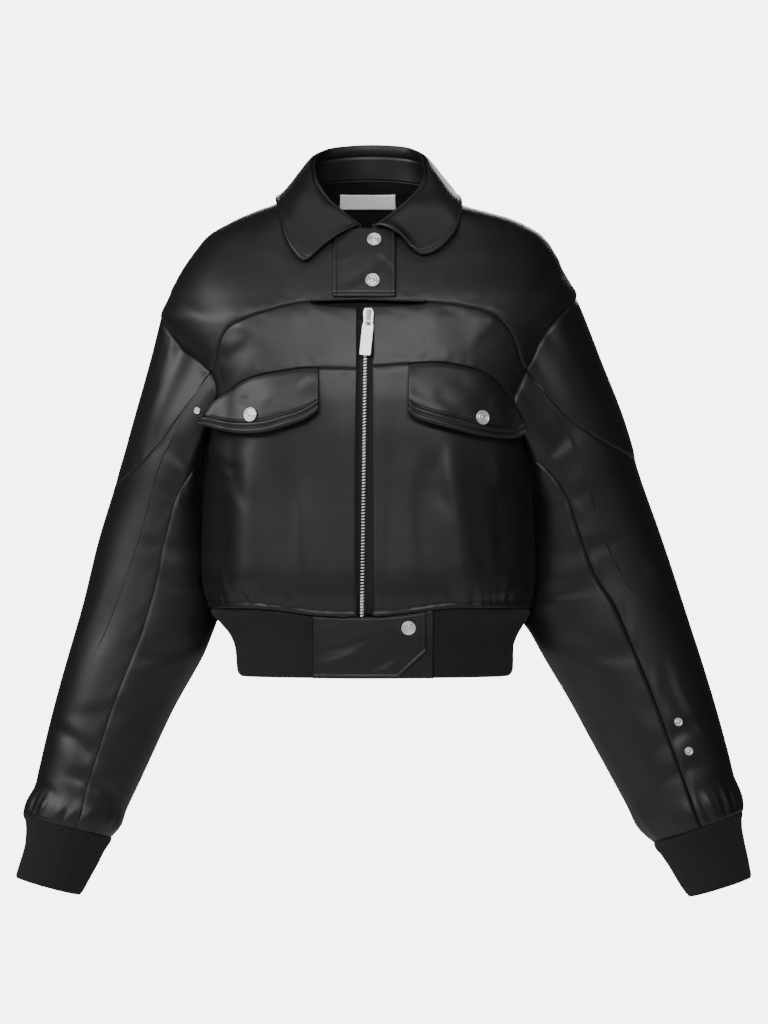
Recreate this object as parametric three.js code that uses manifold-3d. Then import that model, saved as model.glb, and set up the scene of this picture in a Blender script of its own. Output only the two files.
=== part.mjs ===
// A cropped satin bomber jacket, hollow, filled out as it is when it is worn. Millimetres, +Z up.
// The front faces -Y and +X is the right of someone who looks at it from the front.
// The origin is the middle of the neck, where the wearer carries it.
import * as THREE from 'three';
import Module from 'manifold-3d';
import { mergeVertices } from 'three/addons/utils/BufferGeometryUtils.js';

const manifold = await Module();
manifold.setup();

// Thicknesses and gaps
const CLOTH = 1.6;
const FOLDED_CLOTH = 2.1;
const TAPE = 0.8;
const SEAM_GAP = 0.36;
const LAY_GAP = 0.35;
const TORSO_CLEARANCE = 3;

// How finely each stretch of a seam is divided
const STEPS = {
  slit: 3,
  yokeSeam: 7,
  frontEdge: 3,
  neckFront: 3,
  neckBack: 6,
  shoulder: 10,
  armUpper: 6,
  armMiddle: 3,
  armLower: 4,
  armUnder: 3,
  side: 8,
  cap: 4,
};
const ACROSS = STEPS.slit + STEPS.yokeSeam;

// The body, by height: half width on the left and the right, depth of front and back from the
// shoulder line, and how square the section is
const BODY = [
  { z: -445, left: 158, right: 163, front: 110, back: 95, square: 2.6 },
  { z: -427, left: 167, right: 170.5, front: 116, back: 101, square: 2.6 },
  { z: -410, left: 173.5, right: 175.5, front: 121, back: 106, square: 2.6 },
  { z: -385, left: 176, right: 177.5, front: 122.5, back: 108, square: 2.6 },
  { z: -355, left: 175.5, right: 175.5, front: 122, back: 109, square: 2.6 },
  { z: -300, left: 174.5, right: 173, front: 121, back: 110, square: 2.6 },
  { z: -250, left: 174, right: 173, front: 121, back: 111, square: 2.6 },
  { z: -215, left: 177.5, right: 176, front: 119.5, back: 111.5, square: 2.6 },
  { z: -190, left: 183.5, right: 181.5, front: 116.5, back: 111, square: 2.55 },
  { z: -165, left: 195, right: 190, front: 112, back: 110, square: 2.5 },
  { z: -140, left: 211.5, right: 202, front: 106, back: 108, square: 2.45 },
  { z: -124, left: 217.5, right: 213, front: 102, back: 106, square: 2.4 },
  { z: -102, left: 209.5, right: 219, front: 94, back: 103, square: 2.38 },
  { z: -78, left: 198, right: 207, front: 84, back: 98, square: 2.35 },
  { z: -54, left: 181.7, right: 195, front: 73, back: 92, square: 2.3 },
  { z: -37, left: 167, right: 182, front: 64, back: 86, square: 2.25 },
  { z: -28, left: 152, right: 168, front: 59, back: 83, square: 2.2 },
  { z: -20, left: 137, right: 149, front: 55, back: 79, square: 2.15 },
  { z: -12, left: 118, right: 122, front: 51, back: 75, square: 2.1 },
  { z: -5, left: 99, right: 98, front: 47, back: 71, square: 2.05 },
  { z: 6, left: 77, right: 77, front: 41, back: 65, square: 2 },
  { z: 11, left: 75.5, right: 75.5, front: 38, back: 62, square: 2 },
  { z: 23, left: 68, right: 68, front: 33, back: 57, square: 2 },
  { z: 40, left: 52, right: 52, front: 24, back: 44, square: 2 },
];

// Largest folds of the body: a soft ridge from one height to another, x at both ends
const BODY_FOLDS = [
  { face: 1, topZ: -262, topX: -127, lowZ: -418, lowX: -129, width: 17, height: 5 },
  { face: 1, topZ: -255, topX: 82, lowZ: -415, lowX: 101, width: 17, height: 5 },
  { face: -1, topZ: -215, topX: -92, lowZ: -415, lowX: -104, width: 20, height: 5 },
  { face: -1, topZ: -240, topX: 78, lowZ: -415, lowX: 96, width: 20, height: 4 },
];

// Neck seam: half width, and heights at the front, the shoulder and the back
const NECK = { half: 77, frontZ: -33, shoulderZ: 6, backZ: 24 };

// Hem seam: its height, and how far it dips at the middle of the front
const HEM = { z: -427, dip: 8.5, dipX: -15, flatTo: 20, endsAt: 110 };

// Ribbed band below the hem seam
const BAND = [
  { z: -500, left: 136.5, right: 150.5, front: 103, back: 92, square: 2.5 },
  { z: -490, left: 137.8, right: 152, front: 104, back: 92.5, square: 2.5 },
  { z: -470, left: 139.5, right: 152.8, front: 105, back: 93, square: 2.5 },
  { z: -457, left: 144, right: 157, front: 106.5, back: 94, square: 2.5 },
  { z: -445, left: 153.5, right: 163.5, front: 109, back: 96, square: 2.55 },
  { z: -435, left: 161.5, right: 168, front: 112, back: 98, square: 2.6 },
  { z: -427, left: 166, right: 169.5, front: 115, back: 100, square: 2.6 },
];
const BAND_END_Z = -499.5;

// Knitted ribs: how many, how high, how many outer steps for each plain step inside
const HEM_RIB = {
  left: 20, back: 48, right: 18, height: 0.9, perPlain: 4, levels: [0, 0.22, 0.5, 1],
  leftGap: 1.9, rightGap: 0.7, trim: 0.0012,
};
const CUFF_RIB = { ribs: 26, height: 0.9, perPlain: 4, topGap: 1.4 };

// What differs between the two sides. Every x is a distance out from the middle of the front.
const SIDES = {
  left: {
    sign: -1,
    zipX: 10.8,
    arm: [
      { z: -280, out: 174.3 },
      { z: -262, out: 171.3 },
      { z: -242, out: 166.5 },
      { z: -220, out: 158.8 },
      { z: -206, out: 156.5 },
      { z: -195, out: 157.8 },
      { z: -183, out: 163 },
      { z: -176, out: 169 },
      { z: -168, out: 177 },
      { z: -158, out: 191 },
      { z: -141, out: 204.5 },
      { z: -124, out: 217.5 },
    ],
    yokeEndZ: -183,
    flapEndZ: -214,
    slit: { out: 59.4, z: -110, dip: 4.6 },
    yokeSeam: [
      { out: 59.4, z: -110 },
      { out: 79.6, z: -112.6 },
      { out: 103.4, z: -118.8 },
      { out: 125.1, z: -125.9 },
      { out: 142.8, z: -135.1 },
      { out: 150.6, z: -145.4 },
      { out: 155.4, z: -158.8 },
      { out: 158.6, z: -173.2 },
    ],
    flapSeam: [
      { out: 10.8, z: -180.2 },
      { out: 69, z: -179.8 },
      { out: 84.5, z: -182.2 },
      { out: 104.2, z: -185.2 },
      { out: 120.8, z: -189.2 },
      { out: 135.5, z: -196.3 },
      { out: 147, z: -204.4 },
    ],
    flapTop: [
      { out: 50, z: -180.2 },
      { out: 69, z: -180 },
      { out: 84.5, z: -182.2 },
      { out: 104.2, z: -185.2 },
      { out: 120.8, z: -189.2 },
      { out: 135.5, z: -196.3 },
      { out: 147, z: -204.4 },
      { out: 159.8, z: -213.4 },
      { out: 168, z: -221.5 },
      { out: 176.5, z: -231.5 },
    ],
    flapLow: [
      { out: 50, z: -223 },
      { out: 64.1, z: -232.4 },
      { out: 87.6, z: -240.5 },
      { out: 105.4, z: -245.2 },
      { out: 123.2, z: -246.8 },
      { out: 141.2, z: -245.5 },
      { out: 159.4, z: -241.1 },
      { out: 177, z: -236.5 },
    ],
    snap: { out: 121.5, z: -227.3 },
    sleeve: [
      { t: 0, outX: 217.5, outZ: -124, inX: 174, inZ: -280, front: 62, back: 68, mid: 0 },
      { t: 0.11, outX: 231, outZ: -180, inX: 172, inZ: -316, front: 62, back: 68, mid: 3 },
      { t: 0.23, outX: 249.5, outZ: -243, inX: 167, inZ: -352, front: 61, back: 67, mid: 6 },
      { t: 0.34, outX: 266, outZ: -300, inX: 161, inZ: -386, front: 60, back: 65, mid: 8 },
      { t: 0.46, outX: 284, outZ: -360, inX: 155, inZ: -424, front: 58, back: 62, mid: 8 },
      { t: 0.59, outX: 301.5, outZ: -430, inX: 167.5, inZ: -467, front: 55, back: 59, mid: 5 },
      { t: 0.74, outX: 323.5, outZ: -508, inX: 206, inZ: -539, front: 50, back: 53, mid: -1 },
      { t: 0.9, outX: 344, outZ: -591, inX: 243, inZ: -618, front: 44, back: 45, mid: -9 },
      { t: 0.97, outX: 353.5, outZ: -627, inX: 259, inZ: -651, front: 42, back: 43, mid: -13 },
      { t: 1, outX: 361, outZ: -643, inX: 268, inZ: -667, front: 41, back: 41, mid: -15 },
    ],
    capSeam: [
      { around: 76, t: 0 },
      { around: 74, t: 0.08 },
      { around: 70, t: 0.15 },
      { around: 61, t: 0.218 },
      { around: 45, t: 0.278 },
      { around: 22, t: 0.325 },
      { around: 0, t: 0.34 },
    ],
    longSeam: [
      { t: 0, around: 157 },
      { t: 0.1, around: 122 },
      { t: 0.2, around: 106 },
      { t: 0.34, around: 95 },
      { t: 0.46, around: 90 },
      { t: 0.6, around: 90 },
      { t: 0.9, around: 94 },
      { t: 1, around: 102 },
    ],
    cuff: [
      { outX: 356.5, outZ: -651, inX: 271.5, inZ: -674, front: 37, back: 37, mid: -16 },
      { outX: 359.5, outZ: -676, inX: 281, inZ: -695, front: 34, back: 34, mid: -18 },
      { outX: 366.5, outZ: -701, inX: 293, inZ: -715, front: 32, back: 32, mid: -20 },
      { outX: 369, outZ: -709, inX: 300, inZ: -728, front: 31, back: 31, mid: -21 },
    ],
  },
  right: {
    sign: 1,
    zipX: 6,
    arm: [
      { z: -280, out: 173.2 },
      { z: -262, out: 166.5 },
      { z: -242, out: 157.8 },
      { z: -228, out: 153 },
      { z: -213, out: 151.5 },
      { z: -196, out: 157.5 },
      { z: -181, out: 164.2 },
      { z: -168, out: 171.3 },
      { z: -152, out: 177.5 },
      { z: -134, out: 189.5 },
      { z: -121, out: 202 },
      { z: -104, out: 219 },
    ],
    yokeEndZ: -181,
    flapEndZ: -213.6,
    slit: { out: 61, z: -110.6, dip: 2.2 },
    yokeSeam: [
      { out: 61, z: -110.6 },
      { out: 87.4, z: -112.6 },
      { out: 109.2, z: -116.6 },
      { out: 127.3, z: -121.7 },
      { out: 138.5, z: -129.5 },
      { out: 149.1, z: -142.2 },
      { out: 155, z: -156.6 },
      { out: 159.5, z: -171 },
    ],
    flapSeam: [
      { out: 6, z: -177.4 },
      { out: 42.2, z: -175.1 },
      { out: 73.2, z: -174 },
      { out: 103.2, z: -178.5 },
      { out: 120.9, z: -184 },
      { out: 133.4, z: -192.2 },
      { out: 142, z: -201 },
    ],
    flapTop: [
      { out: 42.1, z: -175.4 },
      { out: 73.2, z: -174.2 },
      { out: 103.2, z: -178.5 },
      { out: 120.9, z: -184 },
      { out: 133.4, z: -192.2 },
      { out: 142, z: -201 },
      { out: 151.3, z: -213.6 },
      { out: 158, z: -224 },
      { out: 163, z: -235 },
    ],
    flapLow: [
      { out: 42.2, z: -224.8 },
      { out: 49.1, z: -230.7 },
      { out: 65.6, z: -236.6 },
      { out: 89.3, z: -242.5 },
      { out: 113.2, z: -248.2 },
      { out: 137.1, z: -251.5 },
      { out: 152, z: -251.3 },
      { out: 164.5, z: -246 },
    ],
    snap: { out: 118.9, z: -230.3 },
    sleeve: [
      { t: 0, outX: 219, outZ: -104, inX: 173, inZ: -280, front: 62, back: 68, mid: 0 },
      { t: 0.11, outX: 241.5, outZ: -160, inX: 171, inZ: -316, front: 62, back: 68, mid: 3 },
      { t: 0.23, outX: 266, outZ: -223, inX: 166, inZ: -354, front: 62, back: 68, mid: 6 },
      { t: 0.34, outX: 286, outZ: -288, inX: 160, inZ: -392, front: 61, back: 66, mid: 8 },
      { t: 0.46, outX: 306, outZ: -347, inX: 156, inZ: -428, front: 59, back: 63, mid: 8 },
      { t: 0.6, outX: 328.5, outZ: -414, inX: 174, inZ: -460, front: 56, back: 60, mid: 5 },
      { t: 0.74, outX: 352, outZ: -489, inX: 216.5, inZ: -534, front: 51, back: 54, mid: -1 },
      { t: 0.9, outX: 376, outZ: -572, inX: 255, inZ: -606, front: 45, back: 46, mid: -9 },
      { t: 0.97, outX: 387.5, outZ: -620, inX: 281, inZ: -651, front: 42, back: 43, mid: -13 },
      { t: 1, outX: 392.5, outZ: -640, inX: 299, inZ: -673, front: 41, back: 41, mid: -15 },
    ],
    capSeam: [
      { around: 82.8, t: 0 },
      { around: 80.5, t: 0.075 },
      { around: 75, t: 0.14 },
      { around: 65, t: 0.195 },
      { around: 51, t: 0.247 },
      { around: 26, t: 0.295 },
      { around: 0, t: 0.31 },
    ],
    longSeam: [
      { t: 0, around: 157 },
      { t: 0.1, around: 122 },
      { t: 0.2, around: 106 },
      { t: 0.34, around: 94 },
      { t: 0.5, around: 86 },
      { t: 0.6, around: 82 },
      { t: 0.95, around: 84 },
      { t: 1, around: 88 },
    ],
    cuff: [
      { outX: 390.5, outZ: -649, inX: 303, inZ: -680, front: 37, back: 37, mid: -16 },
      { outX: 394, outZ: -676, inX: 315.5, inZ: -698, front: 34, back: 34, mid: -18 },
      { outX: 400, outZ: -701, inX: 327, inZ: -718, front: 32, back: 32, mid: -20 },
      { outX: 402, outZ: -709, inX: 335, inZ: -730, front: 31, back: 31, mid: -21 },
    ],
  },
};
// Rows along a sleeve, and how its head, its cap seam and its underarm are eased
const SLEEVE_ROWS = [0, 0.08, 0.16, 0.24, 0.33, 0.43, 0.53, 0.63, 0.73, 0.83, 0.91, 0.97, 1];
const ARM_BLEND_END = 0.3;
const NORMAL_EASE = 0.07;
const CAP_NARROWING = 0.62;
const TIP = 0.2;
const UNDERARM_LEAN = 0.3;
const BACK_ARM_EASE = 0.35;

// Collar, from the viewer's left front round the back to the right front. The roll is its upper
// fold, the edge its free edge, neck the angle on the neck seam from the middle of the front, bow
// how far the short front edge is bowed up.
const COLLAR = [
  { rollX: -7.3, rollY: -63, rollZ: -29, edgeX: -57.5, edgeY: -83, edgeZ: -62.5, neck: 5, bow: 4 },
  { rollX: -14, rollY: -60, rollZ: -24.5, edgeX: -63.7, edgeY: -84, edgeZ: -67.3, neck: 12, bow: 2 },
  { rollX: -23, rollY: -55, rollZ: -17.5, edgeX: -70, edgeY: -83, edgeZ: -65.5, neck: 20, bow: 0 },
  { rollX: -33, rollY: -48, rollZ: -9, edgeX: -77, edgeY: -78, edgeZ: -57.5, neck: 29, bow: 0 },
  { rollX: -42, rollY: -40, rollZ: -1, edgeX: -84, edgeY: -71, edgeZ: -46, neck: 38, bow: 0 },
  { rollX: -54.4, rollY: -24, rollZ: 17, edgeX: -90.5, edgeY: -57, edgeZ: -28, neck: 55, bow: 0 },
  { rollX: -62, rollY: -8, rollZ: 32, edgeX: -95.7, edgeY: -30, edgeZ: -7, neck: 73, bow: 0 },
  { rollX: -65, rollY: 8, rollZ: 41, edgeX: -97.5, edgeY: 4, edgeZ: 3, neck: 92, bow: 0 },
  { rollX: -60, rollY: 26, rollZ: 49, edgeX: -92, edgeY: 38, edgeZ: 3, neck: 115, bow: 0 },
  { rollX: -40, rollY: 45, rollZ: 55, edgeX: -62, edgeY: 72, edgeZ: 4, neck: 146, bow: 0 },
  { rollX: 0, rollY: 55, rollZ: 58, edgeX: 0, edgeY: 88, edgeZ: 5, neck: 180, bow: 0 },
  { rollX: 40, rollY: 45, rollZ: 56, edgeX: 62, edgeY: 72, edgeZ: 4, neck: 214, bow: 0 },
  { rollX: 59, rollY: 26, rollZ: 51, edgeX: 92, edgeY: 38, edgeZ: 4, neck: 245, bow: 0 },
  { rollX: 65, rollY: 8, rollZ: 40, edgeX: 98, edgeY: 4, edgeZ: 3, neck: 268, bow: 0 },
  { rollX: 63, rollY: -7, rollZ: 27, edgeX: 98, edgeY: -33, edgeZ: -6, neck: 287, bow: 0 },
  { rollX: 56, rollY: -23, rollZ: 13, edgeX: 92.5, edgeY: -60, edgeZ: -27, neck: 305, bow: 0 },
  { rollX: 43.8, rollY: -40, rollZ: -1, edgeX: 82, edgeY: -70, edgeZ: -41.5, neck: 322, bow: 0 },
  { rollX: 34, rollY: -48, rollZ: -9.5, edgeX: 70, edgeY: -78, edgeZ: -52, neck: 331, bow: 0 },
  { rollX: 24, rollY: -55, rollZ: -17.5, edgeX: 57.5, edgeY: -82, edgeZ: -60, neck: 340, bow: 0 },
  { rollX: 14, rollY: -60, rollZ: -24.5, edgeX: 49, edgeY: -81, edgeZ: -57, neck: 348, bow: 4 },
  { rollX: 5.2, rollY: -63, rollZ: -29, edgeX: 43, edgeY: -79, edgeZ: -52, neck: 355, bow: 6 },
];
const FALL = { bulge: 4, steps: 4, bulgeShape: 0.75, lean: 55 };
const STAND = { lift: 0.6, topInset: 5.4, steps: 2 };

// Patches of cloth that lie on the body or the band: x and z limits, how far out they lie
const NECK_TAB = { left: -36.2, right: 29.4, low: -106.2, high: -34, across: 6, up: 6, lift: 0.5 };
const SLIT = { rise: 1.7, sagShape: 0.8 };
const PIPING = { radius: 1.3, rise: 0.6, steps: 14 };
const UNDERLAY = { left: -62, right: 64, low: -126.6, high: -102, across: 10, up: 2, depth: 2.1, thick: 1 };
const LABEL = { left: -29, right: 28, low: -6.5, high: 8.5, thick: 0.6, depth: 2.9 };
const HEM_TAB = {
  left: -56.6, right: 59.8, cornerX: 30, low: -497, cornerZ: -472, overlapFrom: -44, overlapTo: -22, up: 5,
};
const UNDERLAP = { left: -20, right: 68, lift: -0.4 };

// Pocket flaps: how far the flap stands out and how thick it is, down its height
const FLAP_PROFILE = [
  { down: 0, lift: 0.4, thick: 1.9 },
  { down: 0.3, lift: 2.6, thick: 2.1 },
  { down: 0.58, lift: 4.6, thick: 2.1 },
  { down: 0.72, lift: 5.6, thick: 2.2 },
  { down: 0.8, lift: 6, thick: 3.6 },
  { down: 0.88, lift: 6.2, thick: 2.4 },
  { down: 0.95, lift: 6.2, thick: 4.2 },
  { down: 1, lift: 6.2, thick: 2.6 },
];
const FLAP = { across: 9, reach: 25, reachFrom: 138, reachTo: 178 };

// Zip: the tapes, the closed chain, and the slider with its pull tab
const ZIP = {
  topZ: -127, chainTopZ: -137.2, topX: -2, lowX: -5.7, chainHalf: 1.7, chainThick: 2.2, chainLift: -0.9,
  leftTapeX: -24, rightTapeX: 20, tapeDepth: 1.3, steps: 14,
};
const SLIDER = {
  x: 0.6, z: -126.5, topHalf: 5.5, lowHalf: 4.4, topZ: 9, lowZ: -9.5, back: 1.3, front: -2,
  railHalf: 1.1, railFront: -2.9, lugHalf: 1.8, lugRadius: 3, boreRadius: 1.5, axisY: -4.6, axisZ: -6,
};
const PULL = {
  neckHalf: 4, half: 5.7, barHalf: 0.85, holeHalf: 2.7, holeEnd: 4.4, shoulder: 5, length: 36.5,
  corner: 1.4, thick: 1.6, turn: 5.6,
};

// Snap caps on the neck tab and the hem tab, and small studs, by x and height
const CAP = { radius: 7.5, height: 2.4, seat: 0.15, flapSeat: 1, flapLean: 0.12 };
const SNAPS = { neckUpper: { x: 6.7, z: -46.7 }, neckLower: { x: 5, z: -89.4 }, hem: { x: 41.7, z: -445.7 } };
const STUDS = [
  { name: 'stud_sleeve_upper', side: 'right', x: 322.8, z: -546.1, radius: 4.5 },
  { name: 'stud_sleeve_lower', side: 'right', x: 333.9, z: -575.4, radius: 4.5 },
  { name: 'stud_side_left', side: 'left', x: -176, z: -223, radius: 3.6 },
];
const STUD_HEIGHT = 2;

const DEGREE = Math.PI / 180;
const group = new THREE.Group();

// Finishes
const finish = (color, roughness, metalness) => ({ color, roughness, metalness });
const SATIN = finish(0x1d1d1f, 0.38, 0);
const RIB = finish(0x19191a, 0.95, 0);
const TAPE_CLOTH = finish(0x1a1a1b, 0.9, 0);
const METAL = finish(0xd2d3d5, 0.25, 1);
const LABEL_CLOTH = finish(0xf2f2f0, 0.8, 0);

function add(name, geometry, look, parent = group) {
  const mesh = new THREE.Mesh(geometry, new THREE.MeshStandardMaterial(look));
  mesh.name = name;
  parent.add(mesh);
  return mesh;
}

// Value of one column of a table at a place between its rows, on a curve that never overshoots
function lookup(rows, key, column, at) {
  const last = rows.length - 1;
  if (at <= rows[0][key]) return rows[0][column];
  if (at >= rows[last][key]) return rows[last][column];
  let row = 0;
  while (rows[row + 1][key] < at) row += 1;
  const secant = (k) => (rows[k + 1][column] - rows[k][column]) / (rows[k + 1][key] - rows[k][key]);
  const slope = (k) => {
    if (k === 0) return secant(0);
    if (k === last) return secant(last - 1);
    const before = secant(k - 1);
    const after = secant(k);
    return before * after <= 0 ? 0 : (2 * before * after) / (before + after);
  };
  const span = rows[row + 1][key] - rows[row][key];
  const s = (at - rows[row][key]) / span;
  const keep = (1 + 2 * s) * (1 - s) ** 2;
  const lean = span * s * (1 - s) * ((1 - s) * slope(row) - s * slope(row + 1));
  return keep * rows[row][column] + (1 - keep) * rows[row + 1][column] + lean;
}

const smooth = (from, to, at) => THREE.MathUtils.smoothstep(at, from, to);
const mix = THREE.MathUtils.lerp;

// Evenly spaced places on a smooth curve through a table's rows
function spaced(rows, keys, steps) {
  const [first, second] = keys;
  const points = rows.map((row) => new THREE.Vector3(row[first], row[second], 0));
  const curve = new THREE.CatmullRomCurve3(points, false, 'centripetal');
  return curve.getSpacedPoints(steps).map((point) => ({ [first]: point.x, [second]: point.y }));
}

// A point of a ringed form at an angle and a height. Angle 0 is the right side, a quarter turn is the
// middle of the front, half a turn is the left side.
function ringPoint(rows, angle, z) {
  const cos = Math.cos(angle);
  const sin = Math.sin(angle);
  const power = 2 / lookup(rows, 'z', 'square', z);
  const half = lookup(rows, 'z', cos < 0 ? 'left' : 'right', z);
  const deep = lookup(rows, 'z', sin < 0 ? 'back' : 'front', z);
  const x = half * Math.sign(cos) * Math.abs(cos) ** power;
  const y = -deep * Math.sign(sin) * Math.abs(sin) ** power;
  return new THREE.Vector3(x, y, z);
}

function foldHeight(point) {
  let height = 0;
  for (const fold of BODY_FOLDS) {
    if (fold.face * point.y > 0) continue;
    const along = (point.z - fold.topZ) / (fold.lowZ - fold.topZ);
    const taper = smooth(-0.15, 0.3, along) * (1 - smooth(0.8, 1.05, along));
    const off = (point.x - mix(fold.topX, fold.lowX, along)) / fold.width;
    height += fold.height * taper * Math.exp(-off * off);
  }
  return height;
}

function bodyPoint(angle, z) {
  const point = ringPoint(BODY, angle, z);
  const outward = new THREE.Vector3(point.x / 3, point.y, 0).normalize();
  return point.addScaledVector(outward, foldHeight(point));
}

const bandPoint = (angle, z) => ringPoint(BAND, angle, z);

// Outward normal of a ringed form
function ringNormal(surface, angle, z) {
  const turn = 0.012;
  const rise = 0.8;
  const across = surface(angle + turn, z).sub(surface(angle - turn, z));
  const up = surface(angle, z + rise).sub(surface(angle, z - rise));
  return up.cross(across).normalize();
}

// Angle of the place at a given x and height, on the front or on the back
function angleAt(rows, x, z, back = false) {
  const half = lookup(rows, 'z', x < 0 ? 'left' : 'right', z);
  const ratio = Math.min(Math.abs(x) / half, 1);
  const cos = Math.sign(x) * ratio ** (lookup(rows, 'z', 'square', z) / 2);
  const angle = Math.acos(cos);
  return back ? 2 * Math.PI - angle : angle;
}

const bodyPlace = (x, z, back = false) => ({ u: angleAt(BODY, x, z, back), v: z });

// Closed wall between an outer and an inner grid of points. The inner grid may be sparser across.
function wall(outer, inner, around = false) {
  const rows = outer.length - 1;
  const many = outer[0].length - 1;
  const few = inner[0].length - 1;
  const share = many / few;
  const half = Math.ceil(share / 2);
  const positions = [];
  const start = (rows + 1) * (around ? many : many + 1);
  const wide = around ? many : many + 1;
  const narrow = around ? few : few + 1;
  for (const row of outer) {
    for (let i = 0; i < wide; i += 1) positions.push(row[i].x, row[i].y, row[i].z);
  }
  for (const row of inner) {
    for (let i = 0; i < narrow; i += 1) positions.push(row[i].x, row[i].y, row[i].z);
  }
  const out = (j, i) => j * wide + (i % wide);
  const back = (j, i) => start + j * narrow + (i % narrow);
  const index = [];
  for (let j = 0; j < rows; j += 1) {
    for (let i = 0; i < many; i += 1) {
      index.push(out(j, i), out(j, i + 1), out(j + 1, i + 1));
      index.push(out(j, i), out(j + 1, i + 1), out(j + 1, i));
    }
    for (let i = 0; i < few; i += 1) {
      index.push(back(j, i), back(j + 1, i + 1), back(j, i + 1));
      index.push(back(j, i), back(j + 1, i), back(j + 1, i + 1));
    }
  }
  const rim = (j, flip) => {
    const push = (a, b, c) => (flip ? index.push(a, c, b) : index.push(a, b, c));
    for (let k = 0; k < few; k += 1) {
      for (let i = 0; i < share; i += 1) {
        const at = k * share + i;
        push(out(j, at), out(j, at + 1), back(j, i < half ? k : k + 1));
      }
      push(out(j, k * share + half), back(j, k + 1), back(j, k));
    }
  };
  rim(rows, false);
  rim(0, true);
  if (!around) {
    for (let j = 0; j < rows; j += 1) {
      index.push(out(j, 0), out(j + 1, 0), back(j + 1, 0));
      index.push(out(j, 0), back(j + 1, 0), back(j, 0));
      index.push(out(j, many), back(j + 1, few), out(j + 1, many));
      index.push(out(j, many), back(j, few), back(j + 1, few));
    }
  }
  const geometry = new THREE.BufferGeometry();
  geometry.setAttribute('position', new THREE.Float32BufferAttribute(positions, 3));
  geometry.setIndex(signedVolume(positions, index) < 0 ? flipped(index) : index);
  geometry.computeVertexNormals();
  return geometry;
}

function signedVolume(positions, index) {
  const a = new THREE.Vector3();
  const b = new THREE.Vector3();
  const c = new THREE.Vector3();
  let volume = 0;
  for (let k = 0; k < index.length; k += 3) {
    a.fromArray(positions, 3 * index[k]);
    b.fromArray(positions, 3 * index[k + 1]);
    c.fromArray(positions, 3 * index[k + 2]);
    volume += a.dot(b.cross(c)) / 6;
  }
  return volume;
}

function flipped(index) {
  const turned = [];
  for (let k = 0; k < index.length; k += 3) turned.push(index[k], index[k + 2], index[k + 1]);
  return turned;
}

// Grid of places (u, v) inside four edges. low and high run across, first and last run up.
function fill(low, high, first, last) {
  const across = low.length - 1;
  const up = first.length - 1;
  const grid = [];
  for (let j = 0; j <= up; j += 1) {
    const row = [];
    for (let i = 0; i <= across; i += 1) {
      const s = i / across;
      const t = j / up;
      const blend = (key) =>
        mix(low[i][key], high[i][key], t) +
        mix(first[j][key], last[j][key], s) -
        mix(mix(low[0][key], low[across][key], s), mix(high[0][key], high[across][key], s), t);
      let place = { u: blend('u'), v: blend('v') };
      if (j === 0) place = low[i];
      else if (j === up) place = high[i];
      else if (i === 0) place = first[j];
      else if (i === across) place = last[j];
      row.push(place);
    }
    grid.push(row);
  }
  return grid;
}

// Panel of cloth over a grid of places: its edges are drawn in by half a seam gap, and its inside
// lies a thickness further in. A place on a shared seam may bring its own normal.
function panel(grid, pointAt, normalAt, thick = CLOTH) {
  const rows = grid.length - 1;
  const across = grid[0].length - 1;
  const onForm = (place) => pointAt(place.u, place.v);
  const pointOf = (place) => {
    if (!place.between) return onForm(place);
    return onForm(place.between[0]).lerp(onForm(place.between[1]), TIP);
  };
  const points = grid.map((row) => row.map(pointOf));
  const normals = grid.map((row) => row.map((place) => place.normal ?? normalAt(place.u, place.v)));
  const shifts = grid.map((row) => row.map(() => new THREE.Vector3()));
  const drawIn = (j, i, along, inner) => {
    const tangent = points[along[2]][along[3]].clone().sub(points[along[0]][along[1]]);
    const side = tangent.cross(normals[j][i]).normalize();
    const inward = points[inner[0]][inner[1]].clone().sub(points[j][i]);
    shifts[j][i].addScaledVector(side, (SEAM_GAP / 2) * (side.dot(inward) < 0 ? -1 : 1));
    if (grid[j][i].underarm) shifts[j][i].y += SEAM_GAP * Math.sign(inward.y);
  };
  for (let i = 0; i <= across; i += 1) {
    const before = Math.max(i - 1, 0);
    const after = Math.min(i + 1, across);
    drawIn(0, i, [0, before, 0, after], [1, i]);
    drawIn(rows, i, [rows, before, rows, after], [rows - 1, i]);
  }
  for (let j = 0; j <= rows; j += 1) {
    const before = Math.max(j - 1, 0);
    const after = Math.min(j + 1, rows);
    drawIn(j, 0, [before, 0, after, 0], [j, 1]);
    drawIn(j, across, [before, across, after, across], [j, across - 1]);
  }
  const outer = points.map((row, j) => row.map((point, i) => point.clone().add(shifts[j][i])));
  return wall(outer, thickened(outer, normals, -thick));
}

const bodyNormal = (u, v) => ringNormal(bodyPoint, u, v);
const bodyPanel = (grid) => panel(grid, bodyPoint, bodyNormal);

// Armhole seam: a place on the body for an angle round the armhole, 0 at the shoulder point, half a
// turn at the underarm, the front on the way down
function armPlace(side, around) {
  const top = side.arm[side.arm.length - 1].z;
  const low = side.arm[0].z;
  const z = top + ((low - top) * (1 - Math.cos(around))) / 2;
  const back = Math.sin(around) < 0;
  const half = lookup(BODY, 'z', side.sign < 0 ? 'left' : 'right', z);
  const front = Math.min(lookup(side.arm, 'z', 'out', z), half);
  const atEnd = Math.abs(Math.sin(around)) < 1e-6;
  const out = atEnd ? half : back ? mix(front, half, BACK_ARM_EASE) : front;
  return bodyPlace(side.sign * out, z, back);
}

function sleeveRing(side, t, around) {
  const row = (column) => lookup(side.sleeve, 't', column, t);
  const share = (1 - Math.cos(around)) / 2;
  const deep = Math.sin(around) >= 0 ? row('front') : row('back');
  const x = side.sign * mix(row('outX'), row('inX'), share);
  return new THREE.Vector3(x, row('mid') - deep * Math.sin(around), mix(row('outZ'), row('inZ'), share));
}

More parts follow.
